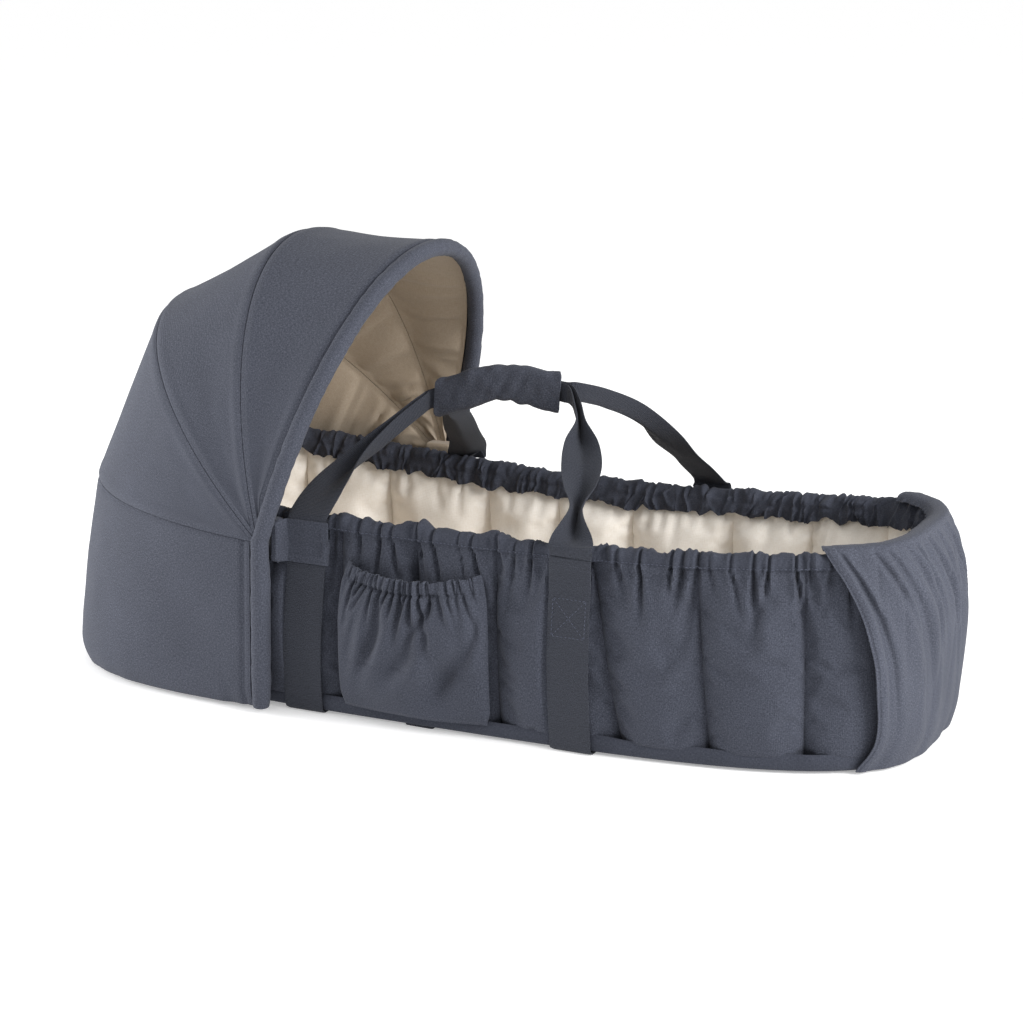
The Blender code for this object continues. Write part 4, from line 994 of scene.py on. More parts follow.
def makeFrontEdge():
    turn = evenTurns(330, 0.001)
    centres = archPoint(hood["radius"]["front"], frontReach, hood["degrees"]["front"], turn)
    plane = math.radians(hood["degrees"]["front"])
    side = rowsOf((-math.sin(plane), 0, math.cos(plane)), len(centres))
    tangent = unit(np.gradient(centres, axis=0))
    out = unit(np.cross(tangent, side))
    lengths = lengthsAlong(centres)
    radii = hood["tubeRadius"] * (0.96 + 0.04 * easeIn(np.minimum(lengths, lengths[-1] - lengths) / 0.04))
    # both ends are round, about the pivots
    grow, back = roundEnd(radii[0])
    head = centres[0] - tangent[0] * back[:, None]
    tail = centres[-1] + tangent[-1] * back[::-1, None]
    centres = np.vstack([head, centres, tail])
    radii = np.concatenate([grow, radii, grow[::-1]])
    out = np.vstack([rowsOf(out[0], len(back)), out, rowsOf(out[-1], len(back))])
    side = rowsOf(side[0], len(centres))
    place = np.arange(len(centres))[:, None] * edging["step"]
    around = np.linspace(0, 2 * pi, 37)[None]
    ripple = 0.00035 * softNoise(place / 0.006, np.cos(around) * 1.2, 61)
    ripple = ripple + edging["fine"] * softNoise(place / 0.02, np.sin(around), 62)
    ripple = ripple - edging["seamPinch"] * bell(around, pi * 0.17, 0.12)
    ripple = ripple - edging["lowPinch"] * bell(around, pi * 0.83, 0.10)
    ripple = ripple * easeIn(np.minimum(place, place[-1] - place) / 0.02)
    tube = tubeGrid("hood_front_edge_padded", centres, radii, out, side, 36, ripple)
    finishPiece(tube, slateCanvas, "front_bow_body", ["hood_front_edge"])


skirt = {
    "lean": 0.003,
    "tuck": 0.006,
    "bulge": 0.0022,
    "lowPower": 3.0,  # how square the skirt's plan is at its hem
    "lowZ": 0.0042,
    "rows": 64,
    "columns": 300,
    "roll": 0.0014,  # rolls in along the base bow
    "groove": 0.0016,  # seam beside the tube
    "gathers": 0.0022,
    "wave": 0.0012,
    # the hem turns in under the nest: how far in, and how far up
    "lips": ((0.003, -0.0008), (0.007, -0.0012), (0.0110, -0.0008)),
}


def makeSkirtEdges():
    for name, way in (("near", -1), ("far", 1)):
        radius = hood["edgeRadius"] - 0.0002
        z = np.linspace(0.0060, hood["pivotZ"], 64)
        share = (z - 0.0035) / (hood["pivotZ"] - 0.0035)
        x = hood["pivotX"] - skirt["lean"] * (1 - share)
        wander = 0.0006 * softNoise(z / 0.03, 0.5 + way, 63)
        centres = np.stack([x, way * frontReach + wander, z], 1)
        radii = radius * (0.90 + 0.10 * easeIn((hood["pivotZ"] - z) / 0.04))
        radii = radii * (1 - edging["skirtThin"] * np.exp(-(z - 0.006) / 0.008))
        grow, back = roundEnd(radii[-1])
        low, lowBack = roundEnd(radii[0])
        foot = centres[0] + np.array([0, 0, -1.0]) * (lowBack[:, None] * 0.30)
        top = centres[-1] + np.array([0, 0, 1.0]) * back[::-1, None]
        centres = np.vstack([foot, centres, top])
        radii = np.concatenate([low, radii, grow[::-1]])
        place = centres[:, 2:3]
        around = np.linspace(0, 2 * pi, 33)[None]
        ripple = 0.0004 * softNoise(place / 0.007, np.cos(around) * 1.3 + 3 * way, 64)
        for turn in (1.35, 1.65):
            ripple = ripple - edging["skirtPinch"] * bell(around, pi * turn, 0.14)
        ripple = ripple * easeIn(np.minimum(place - 0.003, hood["pivotZ"] + 0.006 - place) / 0.02)
        out, side = rowsOf((1, 0, 0), len(centres)), rowsOf((0, 1, 0), len(centres))
        tube = tubeGrid(f"{name}_skirt_edge_padded", centres, radii, out, side, 32, ripple)
        finishPiece(tube, slateCanvas, "cot", [f"{name}_skirt_edge"])


def makeSkirt():
    back = hood["radius"]["base"] + hood["outside"]
    climb = math.sin(math.radians(hood["degrees"]["base"]))
    rows = []
    shares = 1 - np.linspace(0, 1, skirt["rows"]) ** 0.9
    for share in shares:
        power = skirt["lowPower"] + (hood["archPower"] - skirt["lowPower"]) * share
        bulge = skirt["bulge"] * np.interp(share, (0, 0.07, 0.25, 0.6, 1), (0, 0.3, 1, 1, 0))
        tuck = skirt["tuck"] * (max(0.0, 1 - share / 0.13)) ** 2
        start = math.asin((0.0085 / back) ** (power / 2))
        fine = np.linspace(start, pi - start, 3000)
        rise, across = archShape(fine, power)
        lengths = lengthsAlong(np.stack([rise * back, across * outerReach], 1))
        turn = np.interp(np.linspace(0, lengths[-1], skirt["columns"]), lengths, fine)
        rise, across = archShape(turn, power)
        top = hood["pivotZ"] + back * rise * climb - 0.0004
        z = skirt["lowZ"] + (top - skirt["lowZ"]) * share
        x = hood["pivotX"] - skirt["lean"] * (1 - share) - (back + bulge - tuck) * rise
        y = (outerReach - tuck) * across
        rows.append(np.stack([x, y, z], 1))
    points = np.stack(rows)
    # outward way, level with the ground
    tangent = unit(np.gradient(points, axis=1))
    outward = np.stack([-tangent[..., 1], tangent[..., 0], np.zeros(tangent.shape[:2])], -1)
    run = lengthsAlong(points[20])[None]
    fromEdge = np.minimum(run, run[0, -1] - run)
    share = shares[:, None]
    seam = -skirt["roll"] * np.clip(1 - (1 - share) / 0.025, 0, 1) ** 2
    groove = -skirt["groove"] * bell(fromEdge, 0.0075, 0.0018)
    gathers = np.abs(softNoise(run / 0.011, share * 3, 71)) - 0.4
    gathers = skirt["gathers"] * gathers * bell(fromEdge, 0.026, 0.018) * np.exp(-share / 0.16)
    soft = skirt["wave"] * softNoise(run / 0.06, share * 3, 72)
    soft = soft + 0.0004 * softNoise(run / 0.02, share * 8, 73)
    soft = soft * hump(share) ** 0.5 * easeIn(fromEdge / 0.02)
    hem = 0.0008 * softNoise(run / 0.016, 0.0, 74) * np.exp(-share / 0.08)
    points = points + outward * (seam + groove + gathers + soft + hem)[..., None]
    lips = []
    for inward, lift in skirt["lips"]:
        inwards = inward + 0.0008 * softNoise(run[0] / 0.012, inward * 200, 75)
        lip = points[-1] - outward[-1] * inwards[:, None]
        lip[:, 2] = skirt["lowZ"] + lift
        lips.append(lip)
    points = np.concatenate([points, np.stack(lips)])
    makeSheet(
        "hood_skirt_cloth", points, hood["cloth"], slateCanvas,
        ["hood_skirt"],
    )


makeHoodSheets()
makeFrontEdge()
makeSkirtEdges()
makeSkirt()
print("hood made")


# Flat webbing along a line: its middle, the ways across it and out of its face, and a fold along its length
def webbingGrid(name, centres, wide, thick, width, fold=None, seed=1, thickness=0.0017):
    count = 15
    q = np.linspace(-1, 1, count)
    width = np.broadcast_to(np.asarray(width, float), (len(centres),))[:, None]
    fold = np.zeros(len(centres)) if fold is None else np.asarray(fold, float)
    fold = fold[:, None]
    # the two halves lean together about a rounded fold in the middle
    softAbs = np.sqrt(q**2 + 0.012) - math.sqrt(0.012)
    across = q[None] * np.cos(fold) * width / 2
    up = softAbs[None] * np.sin(fold) * width / 2
    up = up - up.mean(1, keepdims=True)
    slopeA, slopeU = np.gradient(across, axis=1), np.gradient(up, axis=1)
    length = np.sqrt(slopeA**2 + slopeU**2)
    normalA, normalU = -slopeU / length, slopeA / length
    place = np.arange(len(centres))[:, None] * 0.003
    bumpy = 0.00015 * softNoise(place / 0.008, q[None] * 2, seed)
    bumpy = bumpy + 0.00025 * softNoise(place / 0.03, q[None], seed + 1)
    rounded = np.where(np.abs(q) > 0.99, 0.45, 1.0)[None]
    rounded = rounded * np.broadcast_to(thickness, (len(centres),))[:, None] / 2
    grids = []
    for face in (1, -1):
        a = across + normalA * (rounded * face + bumpy)
        u = up + normalU * (rounded * face + bumpy)
        grids.append(centres[:, None] + wide[:, None] * a[..., None] + thick[:, None] * u[..., None])
    points = np.concatenate([grids[0], grids[1][:, ::-1], grids[0][:, :1]], 1)
    # both ends close on the middle of the webbing
    middle = (grids[0] + grids[1]) / 2
    closed = np.concatenate([middle, middle[:, ::-1], middle[:, :1]], 1)
    points = np.concatenate([closed[:1], points, closed[-1:]])
    obj = clothGrid(name, points, sew=True)
    turnOutward(obj)
    return obj


def strapHalfWidth(x):
    return max(halfWidth(x + way * webbing["width"] / 2) for way in (-1, 0, 1))


foldReach = max(strapHalfWidth(x) for x in strapX.values()) - 0.0088 + webbing["thickness"]
foldZ = {side: 0.019 + max(float(wallTop(runAtX(x, side))) for x in strapX.values()) for side in (-1, 1)}


# One side of a carrying strap: out of the fold line, down the wall and in under the base
def strapSide(x, side):
    half = strapHalfWidth(x)
    run = runAtX(x, side)
    cling = webbing["thickness"] / 2 + webbing["gap"]
    ground = webbing["thickness"] / 2
    path = [(0.0, ground), (0.08, ground), (half - 0.016, ground), (half - 0.009, ground + 0.0002)]
    path.append((half - 0.0045, 0.0042))
    for level in (0.06, 0.12, 0.2, 0.35, 0.5, 0.65, 0.8, 0.92):
        path.append((half - float(drawnIn(level)) + cling + 0.0006, float(wallZ(level, run))))
    rim = foldReach - webbing["thickness"] / 2
    path.append((rim + 0.0007, foldZ[side] - 0.0190))
    path.append((rim + 0.0003, foldZ[side] - 0.0112))
    path.append((rim, foldZ[side] - (0.0050 if side < 0 else 0.0092)))
    return path


def makeCarryStraps():
    for name, x in strapX.items():
        near, far = strapSide(x, -1), strapSide(x, 1)
        path = [(-y, z) for y, z in reversed(near)] + far[1:]
        line = smoothLine(path, 7)
        line[:, 1] = np.maximum(line[:, 1], webbing["thickness"] / 2)
        centres = np.stack([np.full(len(line), x), line[:, 0], line[:, 1]], 1)
        wander = webbing["wander"] * softNoise(line[:, 0] / 0.05, line[:, 1] / 0.05, 81)
        centres[:, 0] += wander * np.clip(line[:, 1] / 0.03, 0, 1)
        if name == "head":
            centres[:, 0] -= webbing["lean"] * easeIn((0.150 - line[:, 1]) / 0.15)
        tangent = unit(np.gradient(centres, axis=0))
        wide = rowsOf((1, 0, 0), len(centres))
        thick = unit(np.cross(wide, tangent))
        # the handle's webbing lies on the strap below the rim, and is sewn to it there
        top = np.where(centres[:, 1] < 0, foldZ[-1], foldZ[1])
        layers = 1 + ((centres[:, 2] > top - 0.040) & (centres[:, 2] < top - 0.0112)) * (name == "foot")
        out = np.sign((thick[:, 1] * centres[:, 1]))[:, None] * thick
        centres = centres + out * (layers - 1)[:, None] * webbing["thickness"] / 2
        layered = layers * webbing["thickness"]
        piece = f"{name}_carry_strap_webbing"
        strap = webbingGrid(piece, centres, wide, thick, webbing["width"], seed=82, thickness=layered)
        finishPiece(strap, slateWebbing, "cot", [f"{name}_carry_strap"])
    low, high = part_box("pram_anchor_strap")
    y = np.linspace(low.y, high.y, 90)
    z = webbing["thickness"] / 2 + 0.0001 * np.abs(softNoise(y / 0.03, 0.0, 83))
    centres = np.stack([np.full(90, (low.x + high.x) / 2), y, z], 1)
    wide, thick = rowsOf((1, 0, 0), 90), rowsOf((0, 0, 1), 90)
    strap = webbingGrid("pram_anchor_strap_webbing", centres, wide, thick, high.x - low.x, seed=84)
    finishPiece(strap, slateWebbing, "cot", ["pram_anchor_strap"])


makeCarryStraps()

# Handles from the fold at the head end to the fold at the foot end: place, how far the webbing is folded
# lengthwise (0 flat, 1 shut) and how far it is twisted, in degrees
handles = {
    "near": {
        "side": -1,
        "line": (
            (-0.1140, -0.1280, 0.1975, 0.10, 0),
            (-0.1060, -0.0900, 0.2160, 0.50, 8),
            (-0.0900, -0.0500, 0.2380, 0.86, 4),
            (-0.0775, -0.0200, 0.2540, 0.92, 0),
            (-0.0690, -0.0058, 0.2605, 0.94, 0),
            (-0.0300, -0.0058, 0.2722, 0.94, 0),
            (0.0000, -0.0058, 0.2776, 0.94, 0),
            (0.0300, -0.0058, 0.2784, 0.94, 0),
            (0.0580, -0.0058, 0.2762, 0.94, 0),
            (0.0680, -0.0100, 0.2745, 0.93, 0),
            (0.0800, -0.0260, 0.2680, 0.90, 0),
            (0.0940, -0.0480, 0.2560, 0.84, 0),
            (0.1030, -0.0660, 0.2440, 0.42, 0),
            (0.1125, -0.0860, 0.2310, 0.24, 0),
            (0.1200, -0.1060, 0.2165, 0.46, 0),
            (0.1265, -0.1260, 0.2030, 0.80, 0),
            (0.1310, -0.1420, 0.1925, 0.60, 0),
        ),
    },
    "far": {
        "side": 1,
        "line": (
            (-0.1070, 0.1320, 0.1850, 0.22, 0),
            (-0.0950, 0.0960, 0.2040, 0.28, 0),
            (-0.0800, 0.0550, 0.2290, 0.50, 0),
            (-0.0705, 0.0200, 0.2500, 0.86, 0),
            (-0.0640, -0.0001, 0.2620, 0.94, 0),
            (-0.0300, -0.0001, 0.2722, 0.94, 0),
            (0.0000, -0.0001, 0.2776, 0.94, 0),
            (0.0300, -0.0001, 0.2784, 0.94, 0),
            (0.0580, -0.0001, 0.2762, 0.94, 0),
            (0.0670, 0.0060, 0.2755, 0.92, 0),
            (0.0790, 0.0380, 0.2650, 0.84, 0),
            (0.0920, 0.0780, 0.2450, 0.62, 10),
            (0.1110, 0.1130, 0.2120, 0.14, 18),
            (0.1265, 0.1350, 0.1890, 0.0, 8),
        ),
    },
}


def makeHandle(name, look):
    side = look["side"]
    # both ends lie on the outside of the strap's top
    ends = (
        (side * (foldReach + 0.0013), foldZ[side] - 0.0108),
        (side * (foldReach + 0.0006), foldZ[side] - 0.0025),
    )
    shift = 0.006 if side > 0 else 0.0
    stations = [(strapX["head"] - shift * k, *ends[k], 0.0, 0) for k in (0, 1)]
    stations += list(look["line"])
    stations += [(strapX["foot"], y, z, 0.0, 0) for y, z in reversed(ends)]
    line = smoothLine(stations, 9)
    centres = line[:, :3]
    tangent = unit(np.gradient(centres, axis=0))
    up = rowsOf((0, 0, 1), len(line))
    thick = unit(up - tangent * (up * tangent).sum(1, keepdims=True))
    wide = np.cross(tangent, thick)
    # where the webbing hangs down, its width runs along the rim
    along = np.where(centres[:, :1] < 0, -side, side) * np.array([[1.0, 0, 0]])
    hanging = easeIn((np.abs(tangent[:, 2:]) - 0.62) / 0.25)
    wide = unit(wide * (1 - hanging) + along * hanging)
    wide = unit(wide - tangent * (wide * tangent).sum(1, keepdims=True))
    thick = np.cross(wide, tangent)
    twist = np.radians(line[:, 4:5])
    turned = wide * np.cos(twist) + thick * np.sin(twist)
    thick = thick * np.cos(twist) - wide * np.sin(twist)
    fold = np.clip(line[:, 3], 0, 0.95) * pi / 2
    # folded webbing stands clear of the other handle in the grip
    width = webbing["width"] * (1 - 0.06 * np.clip(line[:, 3], 0, 1))
    strap = webbingGrid(f"{name}_handle_webbing_strap", centres, turned, thick, width, fold, seed=90 + side)
    finishPiece(strap, slateWebbing, instead=[f"{name}_handle_webbing"])
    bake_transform(strap)


for handleName, handleLook in handles.items():
    makeHandle(handleName, handleLook)

wrap = {
    "length": 0.125,
    "tall": 0.0355,
    "depth": 0.0150,
    "wall": 0.0016,
    "near": -0.0107,
    "middleX": -0.0055,
    "corner": 0.0062,
    "backEdge": ((1, 0.31), (0.93, 0.39), (0.78, 0.46), (0.6, 0.5)),  # shares of the depth and the height
    "rings": 74,
    "puff": 0.0014,
    "finePuff": 0.0007,
    "crease": 0.0026,
    "endShort": 0.90,  # how much of the depth closes at the two ends
    "endSlant": 0.55,
}


def makeGripWrap():
    grip = [s[:3] for s in handles["near"]["line"] if s[1] == -0.0058]
    before = (grip[0][0] - 0.01, 0, grip[0][2] - 0.002)
    line = smoothLine([before] + [(s[0], 0, s[2]) for s in grip] + [(0.068, 0, 0.2775)], 14)
    half = wrap["length"] / 2
    x = np.linspace(wrap["middleX"] - half, wrap["middleX"] + half, wrap["rings"])
    z = np.interp(x, line[:, 0], line[:, 2])
    share = np.linspace(0, 1, wrap["rings"])[:, None]
    # section: back edge at the top, round the near side, to the back edge at the bottom
    tall, depth, corner = wrap["tall"], wrap["depth"], wrap["corner"]
    high = [(depth * inwards, tall * up) for inwards, up in wrap["backEdge"]] + [(corner, tall / 2)]
    for t in np.linspace(0.2, pi / 2, 6):
        high.append((corner - corner * math.sin(t), tall / 2 - corner + corner * math.cos(t)))
    flat = [(0.0, tall / 2 - corner - (tall - 2 * corner) * k / 9) for k in range(1, 9)]
    section = np.array(high + flat + [(y, -h) for y, h in reversed(high)])
    y = section[None, :, 0]
    h = section[None, :, 1]
    waist = 1 - 0.20 * bell(share, 0.53, 0.15)
    waist = waist + 0.05 * bell(share, 0.12, 0.12) + 0.08 * bell(share, 0.90, 0.16)
    h = h * np.where(h > 0, 1 + 0.05 * bell(share, 0.50, 0.2) - 0.05 * bell(share, 0.82, 0.10), waist)
    ring = lengthsAlong(section)[None]
    puff = wrap["puff"] * softNoise(share * 7, ring / 0.016, 95)
    puff = puff + wrap["finePuff"] * softNoise(share * 15, ring / 0.009, 96)
    crease = np.abs(softNoise(share * 8 + 0.9 * ring / 0.03, ring / 0.04, 97)) - 0.4
    puff = puff + wrap["crease"] * crease * bell(share, 0.56, 0.22)
    ends = easeIn(fromEnds(share) / 0.06)
    puff = puff * ends + 0.0006 * (1 - ends)
    slope = np.gradient(section, axis=0)
    normal = unit(np.stack([slope[:, 1], -slope[:, 0]], 1))
    normal = normal * np.where(normal[:, 1:] * section[:, 1:] < 0, -1, 1)
    normal[:, 0] = np.where(section[:, 0] < corner, -np.abs(normal[:, 0]), normal[:, 0])
    fromEnd = fromEnds(share) * wrap["length"]
    short = 1 - wrap["endShort"] * np.exp(-((fromEnd / 0.009) ** 2))
    y = wrap["near"] + np.where(y > corner, corner + (y - corner) * short, y) + normal[None, :, 0] * puff
    h = h + normal[None, :, 1] * puff
    inset = (y - wrap["near"]) * wrap["endSlant"] * np.exp(-((fromEnd / 0.010) ** 2))
    x = x[:, None] - np.maximum(inset, 0) * np.sign(share - 0.5) + 0.0012 * np.sin(h * 60)
    points = np.stack(np.broadcast_arrays(x, y, z[:, None] + h), -1)
    makeSheet(
        "grip_wrap_cloth", points, wrap["wall"], slateCanvas, ["grip_wrap"],
        inside=(wrap["middleX"], 0.0, 0.272), body="near_handle",
    )


makeGripWrap()
print("straps and handles made")

pocket = {
    "x": (-0.0835, 0.0625),
    "z": (0.014, 0.146),
    "depth": 0.018,
    "cloth": 0.0010,
    "mouthSag": 0.008,
    "columns": 230,
    "rows": 120,
    "casing": 0.0125,  # width of the gathered casing at the mouth
    "pucker": 0.0050,  # tight vertical puckers in the casing
    "longFolds": 0.0060,
    "stitchLine": 0.0020,
    "wave": 0.0060,
    "drawn": 0.13,  # share of the width that the elastic takes in at the mouth
    # broad dents below the casing: place across and up, half sizes, lean, depth
    "dents": (
        (0.12, 0.50, 0.040, 0.20, 0.25, 0.0050),
        (0.26, 0.48, 0.042, 0.20, 0.40, 0.0064),
        (0.47, 0.42, 0.075, 0.17, 0.60, 0.0076),
        (0.60, 0.72, 0.028, 0.14, 0.50, 0.0044),
        (0.78, 0.40, 0.060, 0.17, 0.55, 0.0070),
        (0.92, 0.60, 0.030, 0.20, 0.25, 0.0050),
    ),
}
pocketPleats = pleatRows(0.146, 46, (0.0038, 0.0095), (0.0020, 0.0058), (0.012, 0.064), (-0.014, 0.008))


def wallEnvelope(x, z):
    xs = np.linspace(-0.2, 0.2, 81)
    half = np.interp(x, xs, [halfWidth(v) for v in xs])
    tops = np.interp(x, xs, [float(wallTop(runAtX(v, -1))) for v in xs])
    return half - drawnIn(np.clip(levelAt(z, tops), 0, 1))


def makePocket():
    across = np.linspace(0, 1, pocket["columns"])[None]
    up = np.linspace(0, 1, pocket["rows"])[:, None]
    x0, x1 = pocket["x"]
    z0, z1 = pocket["z"]
    x = x0 + (x1 - x0) * across
    height = z1 - z0
    z = z0 + height * up - pocket["mouthSag"] * np.sin(pi * across) * up
    belly = np.sin(pi * across) ** 0.6 * np.sin(pi * (0.10 + 0.62 * up)) ** 0.6
    mouth = (1 - up) * height
    # the puckers open into folds that spread below the casing
    warp = 0.8 * softNoise(x / 0.03, up * 2, 101)
    pucker = np.abs(softNoise(x / 0.0030 + warp, mouth / 0.03, 102)) ** 0.8 - 0.42
    inCasing = easeIn((pocket["casing"] * 1.25 - mouth) / 0.004)
    spread = (across - 0.5) / (1 + 0.35 * np.clip(mouth / 0.07, 0, 1)) + 0.5
    long_ = np.abs(softNoise(spread * 5.5 + 0.9, mouth / 0.09, 104)) - 0.45
    folds = pleatRelief((spread - 0.5) * 0.146 + 0.073, mouth - pocket["casing"], pocketPleats, 0.05, 0.0012)
    relief = pocket["pucker"] * pucker * inCasing + folds * (1 - 0.5 * inCasing)
    relief = relief + pocket["longFolds"] * long_ * np.clip(mouth / 0.02, 0, 1) * np.exp(-mouth / 0.11)
    relief = relief - pocket["stitchLine"] * bell(mouth, pocket["casing"], 0.0016)
    relief = relief + 0.0010 * softNoise(x / 0.02, z / 0.02, 105)
    relief = relief + pocket["wave"] * softNoise(x / 0.042 - z / 0.09, z / 0.05, 107)
    for middleX, middleY, wide, high, lean, depth in pocket["dents"]:
        aside = across - middleX - lean * (up - middleY)
        level = bell(up, middleY, high)
        relief = relief - depth * bell(aside, 0, wide) * level
        relief = relief + 0.4 * depth * bell(aside, 2 * wide, wide) * level
    sides = np.sin(pi * across) ** 0.35
    relief = relief * sides - 0.0008 * bell(z, z0 + 0.046, 0.0015) * sides  # a seam across the lower part
    out = wallEnvelope(x + 0 * z, z) + 0.0014 + pocket["cloth"] + pocket["depth"] * belly * 0.94 + relief
    z = z + 0.0014 * np.exp(-mouth / 0.004) * softNoise(x / 0.005, 0.0, 106)
    # the elastic draws the mouth together, and the lower corners are round
    middle = (x0 + x1) / 2
    drawn = 1 - pocket["drawn"] * np.exp(-mouth / 0.022) - 0.05 * np.exp(-((up * height / 0.008) ** 2))
    x = middle + (x - middle) * drawn
    points = np.stack(np.broadcast_arrays(x, -out, z), -1)
    # the side and lower edges turn in against the wall
    edges = easeIn(np.minimum(fromEnds(across) * (x1 - x0), up * height) / 0.004)
    points[..., 1] += (1 - edges) * 0.0012
    # the pocket's canvas is painted darker than the hood's, as painted shade
    makeSheet(
        "side_pocket_cloth", points, pocket["cloth"], paintedShadeCanvas,
        ["side_pocket", "pocket_elastic"], inside=(-0.01, 0.0, 0.08),
    )


makePocket()
print("pocket made")

footCover = {
    # offset from the outline, share of the height to the rim's crest, and x of the two side edges
    "profile": (
        (-0.0075, 0.012, 0.374),
        (-0.0050, 0.030, 0.374),
        (0.0000, 0.160, 0.382),
        (0.0026, 0.430, 0.380),
        (0.0016, 0.680, 0.372),
        (-0.0050, 0.870, 0.360),
        (-0.0108, 0.975, 0.350),
        (-0.0150, 1.022, 0.345),
        (-0.0260, 1.020, 0.345),
        (-0.0330, 0.990, 0.347),
    ),
    "cloth": 0.0011,
    "gap": 0.0012,
    "columns": 300,
    "fold": 0.0062,
    "smallFold": 0.0014,
    "hem": 0.0010,
    "flare": 0.0045,  # the side edges stand off the wall
    "wander": 0.0030,
}
footPleats = pleatRows(0.42, 47, (0.012, 0.030), (0.0030, 0.0070), (0.05, 0.16), (-0.006, 0.010))


def makeFootCover():
    line = smoothLine(footCover["profile"], 9)
    xs = np.linspace(0.30, 0.40, 101)
    nearRuns = np.array([runAtX(v, -1) for v in xs])
    farRuns = np.array([runAtX(v, 1) for v in xs])
    start = np.interp(line[:, 2:], xs, nearRuns)
    end = np.interp(line[:, 2:], xs, farRuns) + perimeter
    share = np.linspace(0, 1, footCover["columns"])[None]
    run = start + (end - start) * share
    level = line[:, 1:2]
    z = level * (wallTop(run) + 0.0003 + nest["ruffleHeight"])
    fromEdge = fromEnds(share) * (end - start)
    # long folds hang from the rim, lean a little, and fade before the hem
    warp = 0.5 * softNoise(run / 0.06, level * 2.2, 111)
    folds = np.abs(softNoise(run / 0.024 + warp + 0.5 * level, level * 1.5, 112)) ** 0.9 - 0.40
    small = np.abs(softNoise(run / 0.011 + warp, level * 2.5, 113)) - 0.4
    depth = footCover["fold"] * np.clip((1.02 - level) / 0.10, 0.12, 1) * (0.45 + 0.55 * easeIn(level / 0.3))
    relief = 0.45 * depth * folds + footCover["smallFold"] * small * easeIn(level / 0.4)
    hung = pleatRelief(run - start, (1.0 - level) * 0.17, footPleats, 0.028, 0.0022)
    hung = hung * (0.45 + 0.55 * easeIn((1.03 - level) / 0.06))
    relief = relief + hung * hump(level * 0.9 + 0.1) ** 0.35
    hem = footCover["hem"] * easeIn((fromEdge - 0.002) / 0.001) * easeIn((0.0095 - fromEdge) / 0.001)
    flare = footCover["flare"] * np.exp(-fromEdge / 0.020) * hump(level)
    flare = flare * (1 + 0.5 * softNoise(level * 4, 0.0, 114))
    offset = line[:, :1] + footCover["gap"] + footCover["cloth"] + np.maximum(relief, -0.0012)
    offset = offset + hem + flare + 0.0008
    wander = footCover["wander"] * softNoise(level * 5, 3.0, 115) * np.exp(-fromEdge / 0.03)
    points = onOutline(run + wander, offset, z)
    makeSheet(
        "foot_cover_cloth", points, footCover["cloth"], slateCanvas, ["foot_cover"],
        inside=(0.30, 0.0, 0.10),
    )


makeFootCover()
print("foot cover made")

patch = {
    "from": -0.1437,
    "to": -0.0935,
    "tall": 0.038,
    "aboveWall": 0.0125,
    "lift": {"near": 0.0, "far": 0.0140},  # how far its head end rises
    "hem": 0.0008,
    "stitchLine": 0.0006,
    "fold": 0.0042,  # how far it stands off where the handle's webbing folds under it
    "cloth": 0.0009,
}
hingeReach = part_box("far_hinge_block")[1].y


# A folded patch of cloth over the webbing beside the hood. Its head end covers the hinge block.
def makePatches():
    for name, side in (("near", -1), ("far", 1)):
        x = np.linspace(patch["from"], patch["to"], 72)[None]
        down = np.linspace(0, 1, 48)[:, None]
        top = float(wallTop(runAtX(strapX["head"], side)))
        onBlock = easeIn((-0.1335 - x) / 0.0058)
        z = top + patch["aboveWall"] - patch["tall"] * down
        z = z + patch["lift"][name] * easeIn((-0.1330 - x) / 0.009)
        overWebbing = easeIn((strapX["head"] + webbing["width"] / 2 + 0.001 - x) / 0.0015)
        fromBorder = fromEnds(down) * patch["tall"]
        border = np.minimum(patch["to"] - x, fromBorder)
        turned = patch["hem"] * easeIn((0.0075 - border) / 0.0012)
        turned = turned - patch["stitchLine"] * bell(border, 0.0026, 0.0005)
        wallOut = strapHalfWidth(strapX["head"]) - drawnIn(np.clip(levelAt(z, top), 0, 1))
        out = wallOut + 0.0012 + webbing["thickness"] * (0.5 + 0.5 * overWebbing) + patch["cloth"]
        # over the handle's webbing above the wall
        overFold = easeIn((z - top + 0.009) / 0.006)
        out = out + np.maximum(foldReach + patch["fold"] - out, 0) * overFold
        out = out * (1 - onBlock) + (hingeReach + 0.0011) * onBlock
        out = out + turned + 0.0004 * softNoise(x / 0.009, z / 0.009, 121)
        # the upper and lower borders close down on the wall beside the block
        out = out - onBlock * easeIn(1 - fromBorder / 0.002) * 0.004
        points = np.stack(np.broadcast_arrays(x, side * out, z), -1)
        # the patch's canvas is painted darker than the hood's, as painted shade
        makeSheet(
            f"{name}_strap_patch_cloth", points, patch["cloth"], paintedShadeCanvas,
            [f"{name}_strap_patch"],
            inside=(strapX["head"], 0.0, 0.14),
        )


hinge = {
    "gap": 0.0011,  # from the block to the cloth
    "round": 0.003,
    "rows": 18,
    "topRows": 9,
    "cloth": 0.0006,
}


